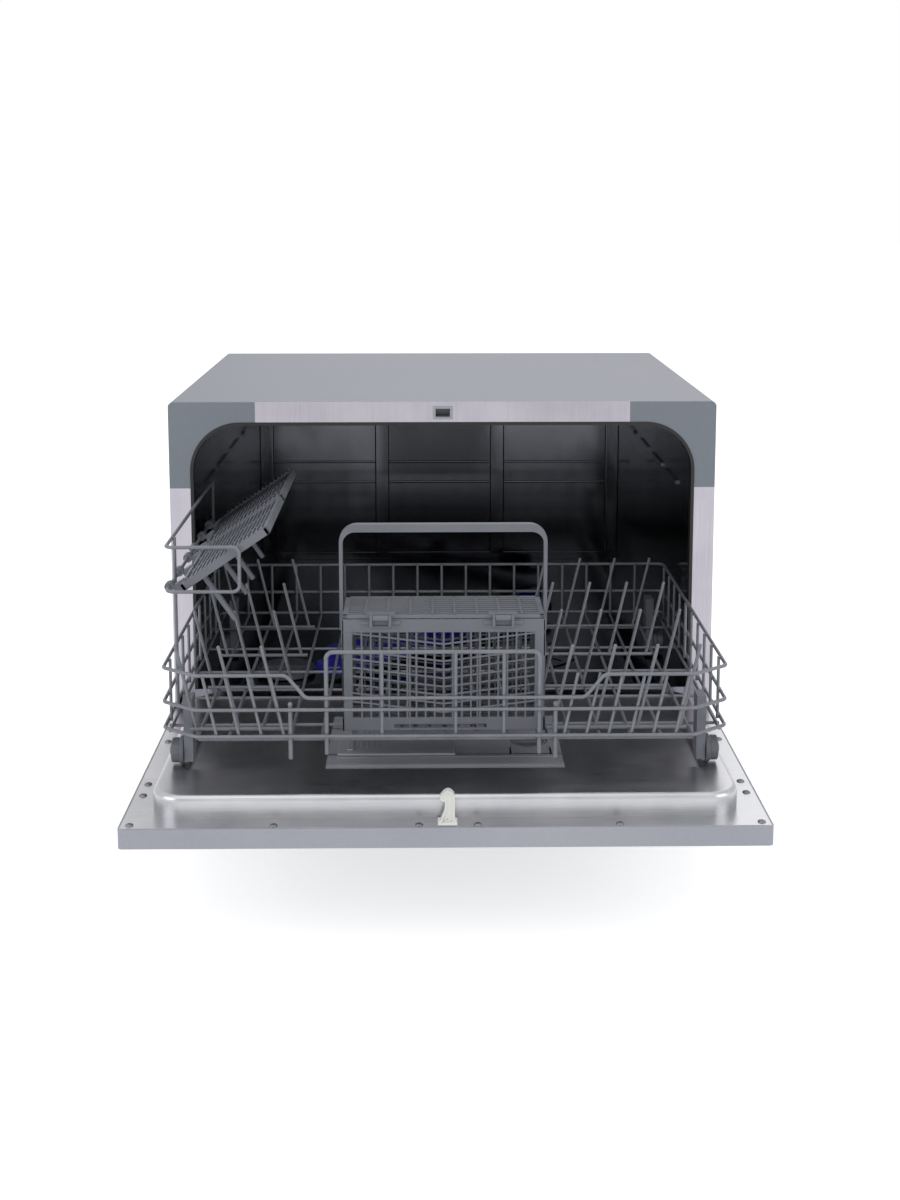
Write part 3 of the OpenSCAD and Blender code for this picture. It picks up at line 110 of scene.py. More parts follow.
@dataclass(frozen=True)
class Finish:
    """Finish of one real material: a body colour that wanders, a fine grain and uneven gloss.

    Its grain is drawn out along one axis where stretch is over 1, as on rolled or brushed metal.
    """

    name: str
    slot: str
    light: str
    dark: str
    roughness: float
    metallic: float = 0.0
    grain_mm: float = 0.6
    cloud_mm: float = 90.0
    bump: float = 0.10
    depth_mm: float = 0.05
    stretch: float = 1.0
    along: Axis = Axis.X
    gloss_wander: float = 0.06
    coat: float = 0.0
    ior: float = 1.5

    def make(self) -> bpy.types.Material:
        """Builds the material.

        Returns:
            A material whose patterns read Object coordinates.
        """
        material = fresh(self.name)
        tree = material.node_tree
        place = add(tree, "ShaderNodeTexCoord")
        drawn = [1.0, 1.0, 1.0]
        drawn[self.along.value] = 1.0 / self.stretch
        spread = add(tree, "ShaderNodeMapping", {"Scale": drawn}, {"Vector": place.outputs["Object"]})
        fine = add(tree, "ShaderNodeTexNoise", {"Scale": grain_scale(self.grain_mm), "Detail": 3.0,
                                                "Roughness": 0.6},
                   {"Vector": spread.outputs["Vector"]})
        cloud = add(tree, "ShaderNodeTexNoise", {"Scale": grain_scale(self.cloud_mm), "Detail": 4.0,
                                                 "Roughness": 0.55},
                    {"Vector": place.outputs["Object"]})
        both = add(tree, "ShaderNodeMix", {"data_type": "FLOAT", 0: 0.45},
                   {2: cloud.outputs["Fac"], 3: fine.outputs["Fac"]})
        tint = add(tree, "ShaderNodeValToRGB", None, {"Fac": both.outputs[0]})
        tint.color_ramp.elements[0].position = 0.30
        tint.color_ramp.elements[0].color = linear(self.dark)
        tint.color_ramp.elements[1].position = 0.70
        tint.color_ramp.elements[1].color = linear(self.light)
        gloss = add(tree, "ShaderNodeMapRange",
                    {"From Min": 0.3, "From Max": 0.7, "To Min": self.roughness - self.gloss_wander,
                     "To Max": self.roughness + self.gloss_wander}, {"Value": both.outputs[0]})
        relief = add(tree, "ShaderNodeBump", {"Strength": self.bump, "Distance": self.depth_mm * MM},
                     {"Height": fine.outputs["Fac"]})
        shader = add(tree, "ShaderNodeBsdfPrincipled",
                     {"Metallic": self.metallic, "IOR": self.ior, "Coat Weight": self.coat,
                      "Coat Roughness": 0.12},
                     {"Base Color": tint.outputs["Color"], "Roughness": gloss.outputs["Result"],
                      "Normal": relief.outputs["Normal"]})
        add(tree, "ShaderNodeOutputMaterial", None, {"Surface": shader.outputs["BSDF"]})
        return material


# Powder coat baked on sheet steel: satin, with a faint orange peel and metal flake. Held darker than the
# door's copy below: painted shade for the cabinet's top
POWDER_COAT = Finish("silver_powder_coat", "painted_sheet", "#8E909A", "#7F828C", 0.50, 0.12, 1.4, 140, 0.12,
                     0.05, ior=1.3)
# The same coat on the door, in a lighter copy: painted light on its upright face
LIT_DOOR_COAT = Finish("silver_door_coat_painted_light", "painted_sheet", "#AFB1BB", "#A0A3AD", 0.46, 0.12, 1.4, 140, 0.12,
                   0.05, ior=1.3)
# Upper corners of the front frame: a bluer, plainer grey than the cabinet's coat
CORNER_GREY = Finish("blue_grey_corner_zone", "painted_sheet", "#7C838C", "#727981", 0.36, 0.1, 1.4, 120,
                      0.1, 0.04)
# Ferritic stainless sheet with a bright rolled face: near a mirror, with faint rolling lines
BRIGHT_STEEL = Finish("bright_rolled_steel", "bright_steel", "#B4B1B9", "#9C99A3", 0.15, 1.0, 0.8, 60, 0.05,
                      0.02, 60, Axis.Z)
# Stainless tub sheet with a smooth rolled face, its colour set far darker than the steel's own: painted shade
# of the tub's inside
SHADED_TUB_STEEL = Finish("tub_steel_painted_shade", "tub_steel", "#5C5E63", "#4D4F54", 0.13, 1.0, 0.9, 160, 0.04, 0.02, 40,
                   Axis.Z, gloss_wander=0.03)
# Stainless sheet, pressed and brushed, of the door's inside
PANEL_STEEL = Finish("brushed_panel_steel", "panel_steel", "#C6C6C9", "#A8A9AD", 0.32, 1.0, 0.7, 60, 0.10,
                     0.03, 60, Axis.X)
# Hot-dip zinc on sheet steel: dull, with blooms of spangle
ZINC_SHEET = Finish("zinc_coated_sheet", "zinc_sheet", "#9A9B9C", "#77797B", 0.42, 0.9, 7.0, 40, 0.10, 0.03)
# Steel wire under dip-coated nylon: soft sheen, a little uneven
COATED_WIRE = Finish("nylon_coated_wire", "coated_wire", "#83868D", "#6C6F76", 0.36, 0.15, 2.5, 40, 0.18,
                     0.10)
# Moulded polypropylene with a spark-eroded grain
SLATE_PP = Finish("slate_polypropylene", "basket_plastic", "#757880", "#666971", 0.46, 0.0, 0.5, 50, 0.22,
                  0.06)
GREY_PP = Finish("grey_polypropylene", "grey_plastic", "#7B7E86", "#686B73", 0.44, 0.0, 0.5, 50, 0.20, 0.06)
DARK_PP = Finish("dark_polypropylene", "dark_plastic", "#2C2D31", "#1E1F22", 0.48, 0.0, 0.6, 60, 0.22, 0.06)
SILVER_ABS = Finish("silver_filled_abs", "silver_plastic", "#A6A9B0", "#989BA2", 0.36, 0.15, 0.6, 60, 0.10,
                    0.04)
WHITE_ABS = Finish("white_abs", "white_plastic", "#F1F1EE", "#E2E2DE", 0.36, 0.0, 0.6, 60, 0.08, 0.04)
# Moulded acetal: hard, waxy, worn smooth on its tread
ACETAL = Finish("grey_acetal", "wheel_plastic", "#6B6E75", "#55585E", 0.33, 0.0, 0.8, 20, 0.14, 0.05)
# Gloss polypropylene of the spray arm
NAVY_PP = Finish("navy_polypropylene", "navy_plastic", "#3A37A8", "#242080", 0.24, 0.0, 0.9, 30, 0.06, 0.04,
                 coat=0.4)
# Nitrile rubber: black, with a chalky bloom
NITRILE = Finish("black_nitrile_rubber", "rubber_black", "#1A1A1C", "#0E0E10", 0.55, 0.0, 0.7, 30, 0.25, 0.08)
# Tinted acrylic over the display and the control strip
BLACK_ACRYLIC = Finish("black_acrylic", "black_gloss", "#101114", "#0A0A0D", 0.12, 0.0, 0.5, 60, 0.02, 0.02,
                       coat=0.6, gloss_wander=0.03)
# Chromed ABS of the push buttons
BUTTON_ABS = Finish("metallised_abs", "button_silver", "#B6B8BD", "#A2A4AA", 0.24, 0.7, 0.5, 20, 0.06, 0.03)
# Glass-epoxy laminate under green solder resist
LAMINATE = Finish("green_epoxy_laminate", "board_green", "#1C5A38", "#123F27", 0.36, 0.0, 0.8, 20, 0.15, 0.05)
# Drawn steel casing of the pumps and the heater
CASING_STEEL = Finish("drawn_casing_steel", "motor_steel", "#8B8C8E", "#6D6E71", 0.38, 1.0, 0.8, 40, 0.12,
                      0.03, 12, Axis.Y)


def grey_corners(material: bpy.types.Material, half_x: float, above_z: float, zone_finish: Finish) -> None:
    """Gives the upper corners of the bright frame a bluer, less metallic grey in place of the steel.

    Args:
        material: Copy of the bright steel's material.
        half_x: Distance from the middle, in metres, beyond which the frame is painted.
        above_z: Height, in metres, over which it is painted.
        zone_finish: Finish of the corner zones.
    """
    tree = material.node_tree
    shader = next(n for n in tree.nodes if n.type == "BSDF_PRINCIPLED")
    place = add(tree, "ShaderNodeTexCoord")
    axes = add(tree, "ShaderNodeSeparateXYZ", None, {"Vector": place.outputs["Object"]})
    across = add(tree, "ShaderNodeMath", {"operation": "ABSOLUTE"}, {0: axes.outputs["X"]})
    beyond = add(tree, "ShaderNodeMath", {"operation": "GREATER_THAN", 1: half_x}, {0: across.outputs[0]})
    over = add(tree, "ShaderNodeMath", {"operation": "GREATER_THAN", 1: above_z}, {0: axes.outputs["Z"]})
    zone = add(tree, "ShaderNodeMath", {"operation": "MULTIPLY"}, {0: beyond.outputs[0], 1: over.outputs[0]})
    grain = add(tree, "ShaderNodeTexNoise", {"Scale": grain_scale(zone_finish.grain_mm), "Detail": 3.0},
                {"Vector": place.outputs["Object"]})
    coat = add(tree, "ShaderNodeMix", {"data_type": "RGBA", 6: linear(zone_finish.dark), 7: linear(zone_finish.light)},
               {0: grain.outputs["Fac"]})
    body = shader.inputs["Base Color"].links[0].from_socket
    tint = add(tree, "ShaderNodeMix", {"data_type": "RGBA"}, {0: zone.outputs[0], 6: body,
                                                              7: coat.outputs[2]})
    tree.links.new(tint.outputs[2], shader.inputs["Base Color"])
    gloss = shader.inputs["Roughness"].links[0].from_socket
    rough = add(tree, "ShaderNodeMix", {"data_type": "FLOAT", 3: zone_finish.roughness},
                {0: zone.outputs[0], 2: gloss})
    tree.links.new(rough.outputs[0], shader.inputs["Roughness"])
    metal = add(tree, "ShaderNodeMapRange", {"To Min": 1.0, "To Max": zone_finish.metallic},
                {"Value": zone.outputs[0]})
    tree.links.new(metal.outputs["Result"], shader.inputs["Metallic"])


NODE_FINISHES: dict[Finish, tuple[str, ...]] = {
    POWDER_COAT: ("outer_wrap", "kick_plate"),
    LIT_DOOR_COAT: ("door_outer",),
    BRIGHT_STEEL: ("front_frame",),
    SHADED_TUB_STEEL: ("tub_wrap", "tub_back", "tub_floor", "filter_plate", "micro_filter"),
    PANEL_STEEL: ("door_inner",),
    ZINC_SHEET: ("rear_cover", "hinge_arms", "hinge_brackets", "door_springs"),
    COATED_WIRE: ("rack_floor", "rack_front", "rack_sides", "rack_back", "rack_tines", "shelf_frame"),
    SLATE_PP: ("shelf_front", "shelf_rear", "basket", "basket_handle", "basket_lid"),
    GREY_PP: ("coarse_filter", "salt_cap", "rinse_cap", "wheel_brackets"),
    DARK_PP: ("base_tray", "sump", "spray_hub", "drain_pump", "drain_port"),
    SILVER_ABS: ("dispenser", "dispenser_lid", "latch"),
    WHITE_ABS: ("softener", "air_breather", "inlet_valve", "striker"),
    ACETAL: ("wheel_fl", "wheel_fr", "wheel_rl", "wheel_rr"),
    NAVY_PP: ("spray_arm", "spray_nut"),
    NITRILE: ("feet", "gasket", "cord_gland"),
    BLACK_ACRYLIC: ("fascia", "display"),
    BUTTON_ABS: ("button_1", "button_2", "button_3", "button_4"),
    LAMINATE: ("control_board",),
    CASING_STEEL: ("wash_pump", "heater", "door_screws"),
}

MADE: dict[Finish, bpy.types.Material] = {}
HOME_Y = -80.5
CORNER_X = 188.0
CORNER_Z = 350.5
TOUCH = 1e-5
APART = 1e-4


def material_of(finish: Finish) -> bpy.types.Material:
    """Gives the material of a finish, made once."""
    if finish not in MADE:
        MADE[finish] = finish.make()
    return MADE[finish]


def at(x: float, y: float, z: float) -> Vector:
    """Turns millimetres from the cabinet's front plane to metres in the model's frame."""
    return Vector((x * MM, (y + HOME_Y) * MM, z * MM))


def join(shape: bmesh.types.BMesh, part: bmesh.types.BMesh, turn: Matrix | None = None) -> None:
    """Adds a part to a shape and frees the part.

    Args:
        shape: Shape that grows.
        part: Part to add.
        turn: Transform of the part, if any.
    """
    if turn is not None:
        bmesh.ops.transform(part, matrix=turn, verts=part.verts)
    carrier = bpy.data.meshes.new("carrier")
    part.to_mesh(carrier)
    part.free()
    shape.from_mesh(carrier)
    bpy.data.meshes.remove(carrier)


def bevelled(part: bmesh.types.BMesh, edges: list[bmesh.types.BMEdge], offset_mm: float,
             segments: int) -> None:
    """Rounds some edges of a part."""
    bmesh.ops.bevel(part, geom=edges, offset=offset_mm * MM, offset_type="OFFSET", segments=segments,
                    profile=0.5, affect="EDGES", material=-1, clamp_overlap=True)


def block(shape: bmesh.types.BMesh, low: tuple[float, float, float], high: tuple[float, float, float],
          edge_mm: float = 0.3, segments: int = 1, frame_mm: bool = True) -> None:
    """Adds a bar or plate with softened edges.

    Args:
        shape: Shape that grows.
        low: Lowest corner in millimetres.
        high: Highest corner in millimetres.
        edge_mm: Radius of the edges.
        segments: Faces across each rounded edge.
        frame_mm: Whether the corners count from the cabinet's front plane, or from a part's own origin.
    """
    a, b = (at(*low), at(*high)) if frame_mm else (Vector(low) * MM, Vector(high) * MM)
    part = bmesh.new()
    bmesh.ops.create_cube(part, size=1.0)
    bmesh.ops.scale(part, vec=b - a, verts=part.verts)
    bmesh.ops.translate(part, vec=(a + b) / 2, verts=part.verts)
    if edge_mm > 0:
        bevelled(part, list(part.edges), edge_mm, segments)
    join(shape, part)


def turned(shape: bmesh.types.BMesh, profile: list[tuple[float, float]], centre: Vector,
           axis: Vector = Vector((0, 0, 1)), steps: int = 32) -> None:
    """Adds a shape turned on a lathe.

    Args:
        shape: Shape that grows.
        profile: Radius and height pairs in millimetres, as a closed ring or from axis to axis.
        centre: Place of height 0, in metres.
        axis: Direction of the axis.
        steps: Faces round the axis.
    """
    part = bmesh.new()
    rim = [part.verts.new((r * MM, 0.0, h * MM)) for r, h in profile]
    ends = list(zip(rim, rim[1:]))
    if profile[0][0] > 0:
        ends.append((rim[-1], rim[0]))
    sides = [part.edges.new(pair) for pair in ends]
    bmesh.ops.spin(part, geom=rim + sides, cent=(0, 0, 0), axis=(0, 0, 1), dvec=(0, 0, 0),
                   angle=2 * math.pi, steps=steps, use_merge=True, use_duplicate=False)
    bmesh.ops.remove_doubles(part, verts=part.verts, dist=1e-6)
    bmesh.ops.recalc_face_normals(part, faces=part.faces)
    join(shape, part, Matrix.Translation(centre) @ axis.to_track_quat("Z", "Y").to_matrix().to_4x4())


def piece(name: str, shape: bmesh.types.BMesh, finish: Finish, body: str, *nodes: str,
          smooth_deg: float = 40.0) -> bpy.types.Object:
    """Makes a shape a piece of the model.

    Args:
        name: Name of the piece.
        shape: Its shape, which is freed.
        finish: Its finish.
        body: Body that it rides on.
        nodes: Solids that it stands for.
        smooth_deg: Edges flatter than this are shaded smooth.

    Returns:
        The new object.
    """
    bmesh.ops.recalc_face_normals(shape, faces=shape.faces)
    mesh = bpy.data.meshes.new(name)
    shape.to_mesh(mesh)
    shape.free()
    mesh.materials.append(material_of(finish))
    mesh.shade_smooth()
    mesh.set_sharp_from_angle(angle=math.radians(smooth_deg))
    holder = bpy.data.objects.new(name, mesh)
    bpy.context.scene.collection.objects.link(holder)
    evened = holder.modifiers.new("weighted_normals", "WEIGHTED_NORMAL")
    evened.keep_sharp = True
    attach(holder, body)
    if nodes:
        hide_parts(*nodes)
    LOG.info("%s: %d faces, %s, rides on %s", name, len(mesh.polygons), finish.name, body)
    return holder


@dataclass
class DoorPanel:
    """Pressed stainless inside of the door: a flange and a plateau, recessed between its wheel tracks."""

    half_width: float = 273.7
    reach: float = 301.7
    flange_z: float = 121.0
    plateau_z: float = 141.3
    plateau_x: float = 252.0
    plateau_y0: float = -283.5
    plateau_y1: float = -8.0
    corner: float = 28.0
    shoulder: float = 5.0
    recess_x: float = 230.0
    recess_y0: float = -221.0
    recess_z: float = 135.8
    hole_x: float = 103.0
    hole_y: tuple[float, float] = (-210.0, -90.0)
    sheet: float = 1.2
    lip: float = 1.6

    def plateau(self) -> bmesh.types.BMesh:
        """Presses the plateau: round corners, a soft shoulder, the recess and the dispenser's hole."""
        part = bmesh.new()
        low = at(-self.plateau_x, self.plateau_y0, self.flange_z - self.sheet / 2)
        high = at(self.plateau_x, self.plateau_y1, self.plateau_z)
        bmesh.ops.create_cube(part, size=1.0)
        bmesh.ops.scale(part, vec=high - low, verts=part.verts)
        bmesh.ops.translate(part, vec=(low + high) / 2, verts=part.verts)
        upright = [e for e in part.edges if abs(e.verts[0].co.z - e.verts[1].co.z) > APART]
        bevelled(part, upright, self.corner, 10)
        top = [e for e in part.edges if min(v.co.z for v in e.verts) > high.z - TOUCH]
        bevelled(part, top, self.shoulder, 5)
        cuts = [(s * self.recess_x, 0, (1, 0, 0)) for s in (-1, 1)] + [(0, self.recess_y0, (0, 1, 0))]
        cuts += [(s * self.hole_x, 0, (1, 0, 0)) for s in (-1, 1)] + [(0, y, (0, 1, 0)) for y in self.hole_y]
        for x, y, normal in cuts:
            bmesh.ops.bisect_plane(part, geom=part.verts[:] + part.edges[:] + part.faces[:],
                                   plane_co=at(x, y, 0), plane_no=normal)
        part.normal_update()
        edge_x, edge_y = self.recess_x * MM, at(0, self.recess_y0, 0).y
        sunk = [f for f in part.faces if f.normal.z > 0.05 and abs(f.calc_center_median().x) < edge_x
                and f.calc_center_median().y > edge_y]
        grown = bmesh.ops.extrude_face_region(part, geom=sunk)["geom"]
        for vert in (g for g in grown if isinstance(g, bmesh.types.BMVert)):
            vert.co.z = self.recess_z * MM
        bmesh.ops.delete(part, geom=sunk, context="FACES")
        bmesh.ops.recalc_face_normals(part, faces=part.faces)
        y0, y1 = (at(0, y, 0).y for y in self.hole_y)
        gone = [f for f in part.faces if f.normal.z > 0.5 and abs(f.calc_center_median().x) < self.hole_x * MM
                and y0 < f.calc_center_median().y < y1]
        bmesh.ops.delete(part, geom=gone, context="FACES")
        lip = [e for e in part.edges if len(e.link_faces) == 2
               and min(v.co.z for v in e.verts) > high.z - TOUCH
               and (all(abs(abs(v.co.x) - edge_x) < TOUCH for v in e.verts)
                    or all(abs(v.co.y - edge_y) < TOUCH and abs(v.co.x) < edge_x + TOUCH for v in e.verts))]
        bevelled(part, lip, self.lip, 3)
        return part

    def build(self) -> None:
        """Builds the panel."""
        shape = bmesh.new()
        block(shape, (-self.half_width, -self.reach, self.flange_z - self.sheet),
              (self.half_width, -2.8, self.flange_z), 0.5, 2)
        join(shape, self.plateau())
        piece("door_panel", shape, PANEL_STEEL, "cabinet", "door_inner", smooth_deg=30)


@dataclass
class Basket:
    """Cutlery basket: lattice walls with falling slats, a slotted floor, two dividers and its lid's ears."""

    x: tuple[float, float] = (-90.75, 87.75)
    y: tuple[float, float] = (-224.6, -158.6)
    z: tuple[float, float] = (176.95, 277.95)
    wall: float = 2.2
    window_x: tuple[float, float] = (-81.25, 78.25)
    window_z: tuple[float, float] = (188.95, 265.95)
    openings: int = 20
    bar: float = 1.8
    fall: float = 10.0
    slat_steps: tuple[float, ...] = (0.0, 15.4, 23.1, 30.8, 38.5, 46.2, 53.9, 61.6)
    lid_axis: tuple[float, float] = (-228.0, 279.75)
    hinges: tuple[float, float] = (-56.5, 50.5)
    hinge_half: float = 7.0

    def long_wall(self, shape: bmesh.types.BMesh, y: float, slot: bool) -> None:
        """Adds the front or rear wall.

        Args:
            shape: Shape that grows.
            y: Near face of the wall.
            slot: Whether its foot has a drain slot.
        """
        (x0, x1), (z0, z1), (a, b), (c, d) = self.x, self.z, self.window_x, self.window_z
        far = y + self.wall
        block(shape, (x0, y, d), (x1, far, z1), 0.7, 2)
        for low, high in (((x0, y, c - 0.4), (a, far, d + 0.4)), ((b, y, c - 0.4), (x1, far, d + 0.4))):
            block(shape, low, high, 0.5, 1)
        if slot:
            for low, high in (((x0, y, z0), (-45, far, c)), ((36, y, z0), (x1, far, c)),
                              ((-46, y, z0), (37, far, z0 + 2.6)), ((-46, y, z0 + 5.6), (37, far, c))):
                block(shape, low, high, 0.5, 1)
        else:
            block(shape, (x0, y, z0), (x1, far, c), 0.5, 1)
        step = (b - a) / self.openings
        for i in range(1, self.openings):
            block(shape, (a + i * step - self.bar / 2, y + 0.4, c - 1), (a + i * step + self.bar / 2,
                                                                         far - 0.3, d + 1), 0.35, 1)
        middle = (a + b) / 2
        half = (b - a) / 2
        for drop in self.slat_steps:
            for side in (-1, 1):
                part = bmesh.new()
                bmesh.ops.create_cube(part, size=1.0)
                length = math.hypot(half, self.fall) + 1.5
                bmesh.ops.scale(part, vec=(length * MM, 1.3 * MM, 1.6 * MM), verts=part.verts)
                bevelled(part, list(part.edges), 0.3, 1)
                tilt = Matrix.Rotation(-side * math.atan2(self.fall, half), 4, "Y")
                join(shape, part, Matrix.Translation(at(middle + side * half / 2, y + 1.1,
                                                        d - drop - self.fall / 2 - 0.8)) @ tilt)

    def end_wall(self, shape: bmesh.types.BMesh, x: float) -> None:
        """Adds the wall at one end, whose near face is at x."""
        (y0, y1), (z0, z1), (c, d) = self.y, self.z, self.window_z
        far = x + self.wall
        top = d - 22
        block(shape, (x, y0, top), (far, y1, z1), 0.6, 1)
        block(shape, (x, y0, z0), (far, y1, c), 0.5, 1)
        for low, high in ((y0, y0 + 12), (y1 - 12, y1)):
            block(shape, (x, low, c - 0.4), (far, high, top + 0.4), 0.5, 1)
        for i in range(1, 5):
            y = y0 + 12 + i * (y1 - y0 - 24) / 5
            block(shape, (x + 0.4, y - 0.9, c - 1), (far - 0.4, y + 0.9, top + 1), 0.3, 1)
        for z in (c + 13.5, c + 27, c + 40.5):
            block(shape, (x + 0.5, y0 + 11, z), (far - 0.5, y1 - 11, z + 1.6), 0.3, 1)

    def base(self, shape: bmesh.types.BMesh) -> None:
        """Adds the slotted floor and the dividers."""
        (x0, x1), (y0, y1), z0 = self.x, self.y, self.z[0]
        for i in range(15):
            x = x0 + 3 + i * (x1 - x0 - 6) / 14
            block(shape, (x - 1.2, y0 + 1, z0), (x + 1.2, y1 - 1, z0 + 2.2), 0.3, 1)
        for i in range(7):
            y = y0 + 3 + i * (y1 - y0 - 6) / 6
            block(shape, (x0 + 1, y - 1.2, z0 + 0.1), (x1 - 1, y + 1.2, z0 + 2.0), 0.3, 1)
        for share in (1 / 3, 2 / 3):
            x = x0 + share * (x1 - x0)
            block(shape, (x - 1, y0 + 1, z0 + 1), (x + 1, y1 - 1, self.z[1] - 30), 0.4, 1)

    def ears(self, shape: bmesh.types.BMesh) -> None:
        """Adds the ears and pins that the lid turns on, and the wings under them."""
        y, z = self.lid_axis
        rim = self.z[1]
        for x in self.hinges:
            for e in (x - self.hinge_half - 2.5, x + self.hinge_half):
                block(shape, (e, y - 2.8, rim - 6), (e + 2.5, self.y[0] + 0.6, rim - 0.1), 0.5, 1)
                block(shape, (e, y - 2.8, rim - 1), (e + 2.5, y + 2.8, z + 2.8), 0.8, 2)
            for side in (-1, 1):
                block(shape, (x + side * 13 - 4.5, self.y[0] - 1.6, rim - 4.4),
                      (x + side * 13 + 4.5, self.y[0] + 0.6, rim - 1.2), 0.6, 2)
            block(shape, (x - 9, self.y[0] - 1.8, rim - 7.6), (x + 9, self.y[0] + 0.6, rim - 5.6), 0.6, 2)
            turned(shape, [(0, 0), (1.5, 0), (1.5, 16), (0, 16)], at(x - 8, y, z), Vector((1, 0, 0)), 12)

    def build(self) -> None:
        """Builds the basket."""
        shape = bmesh.new()
        self.long_wall(shape, self.y[0], True)
        self.long_wall(shape, self.y[1] - self.wall, False)
        self.end_wall(shape, self.x[0])
        self.end_wall(shape, self.x[1] - self.wall)
        self.base(shape)
        self.ears(shape)
        piece("cutlery_basket", shape, SLATE_PP, "basket", "basket")


@dataclass
class BasketLid:
    """Slotted lid of the cutlery basket, with the knuckles that turn on the basket's pins."""

    x: tuple[float, float] = (-89.75, 86.75)
    y: tuple[float, float] = (-223.6, -159.1)
    z: tuple[float, float] = (278.25, 281.25)
    axis: tuple[float, float] = (-228.0, 279.75)
    hinges: tuple[float, float] = (-56.5, 50.5)
    long_bars: int = 9
    cross_bars: int = 9

    def build(self) -> None:
        """Builds the lid."""
        shape = bmesh.new()
        (x0, x1), (y0, y1), (z0, z1) = self.x, self.y, self.z
        for low, high in ((y0, y0 + 4.5), (y1 - 4.5, y1)):
            block(shape, (x0, low, z0), (x1, high, z1), 0.6, 2)
        for low, high in ((x0, x0 + 4.5), (x1 - 4.5, x1)):
            block(shape, (low, y0, z0), (high, y1, z1), 0.6, 2)
        for i in range(1, self.long_bars):
            y = y0 + 2 + i * (y1 - y0 - 4) / self.long_bars
            block(shape, (x0 + 2, y - 1.3, z0 + 0.3), (x1 - 2, y + 1.3, z1 - 0.1), 0.4, 1)
        for i in range(1, self.cross_bars):
            x = x0 + i * (x1 - x0) / self.cross_bars
            block(shape, (x - 1.2, y0 + 2, z0 + 0.1), (x + 1.2, y1 - 2, z1), 0.4, 1)
        y, z = self.axis
        for x in self.hinges:
            turned(shape, [(1.56, 0), (2.6, 0), (2.6, 13.4), (1.56, 13.4)], at(x - 6.7, y, z),
                   Vector((1, 0, 0)), 20)
            block(shape, (x - 6.7, y + 1.7, z0), (x + 6.7, y0 + 2, z1), 0.5, 1)
            block(shape, (x - 13, y0 + 1, z1 - 0.4), (x + 13, y0 + 9, z1 + 0.9), 0.5, 2)
        piece("cutlery_lid", shape, SLATE_PP, "basket_lid", "basket_lid")


@dataclass
class SprayArm:
    """Moulded spray arm with two tapered blades, nozzles and a fin on each blade."""

    hub: tuple[float, float] = (0.0, 216.0)
    low_z: float = 130.0
    thick: float = 12.0
    reach: float = 188.0
    root: float = 25.0
    tip: float = 17.0
    turn_deg: float = 45.0
    fin_top: float = 158.0
    fin_r: tuple[float, float] = (118.0, 176.0)
    spine_r: tuple[float, float] = (60.0, 120.0)

    def blade(self) -> bmesh.types.BMesh:
        """Shapes one blade along +X: wide at the hub, narrower and round at its tip."""
        part = bmesh.new()
        bmesh.ops.create_cube(part, size=1.0)
        bmesh.ops.scale(part, vec=(self.reach * MM, 2 * self.root * MM, (self.thick - 2) * MM),
                        verts=part.verts)
        bmesh.ops.translate(part, vec=(self.reach / 2 * MM, 0, (self.low_z + (self.thick - 2) / 2) * MM),
                            verts=part.verts)
        for vert in part.verts:
            if vert.co.x > 0.1:
                vert.co.y *= self.tip / self.root
        outer = [e for e in part.edges if all(v.co.x > 0.1 for v in e.verts)
                 and abs(e.verts[0].co.z - e.verts[1].co.z) > APART]
        bevelled(part, outer, self.tip * 0.92, 8)
        top = [e for e in part.edges if min(v.co.z for v in e.verts) > (self.low_z
                                                                        + self.thick - 2) * MM - TOUCH]
        bevelled(part, top, 3.2, 3)
        return part

    def build(self) -> None:
        """Builds the arm."""
        shape = bmesh.new()
        place = Matrix.Translation(at(*self.hub, 0))
        top = self.low_z + self.thick
        (a, b), (c, d) = self.fin_r, self.spine_r
        for side in (0.0, math.pi):
            turn = place @ Matrix.Rotation(math.radians(self.turn_deg) + side, 4, "Z")
            join(shape, self.blade(), turn)
            fin = bmesh.new()
            block(fin, (a, -2.6, top - 4), (b, 2.6, self.fin_top), 1.6, 3, frame_mm=False)
            block(fin, (c, -3.5, top - 3), (d, 3.5, top + 1.2), 1.2, 2, frame_mm=False)
            join(shape, fin, turn)
            for i in range(5):
                nozzle = bmesh.new()
                turned(nozzle, [(1.5, -2.4), (4.2, -2.4), (3.4, -0.6), (2.2, -0.2), (1.5, -0.6)],
                       Vector((36 + i * 26, (12 if i % 2 else -12), top)) * MM, steps=16)
                join(shape, nozzle, turn)
        turned(shape, [(6.05, 0), (26.5, 0), (27, 2), (27, 8.5), (24, 11), (17, 12), (6.05, 12)],
               at(*self.hub, self.low_z), steps=48)
        piece("spray_arm_body", shape, NAVY_PP, "spray_arm", "spray_arm")


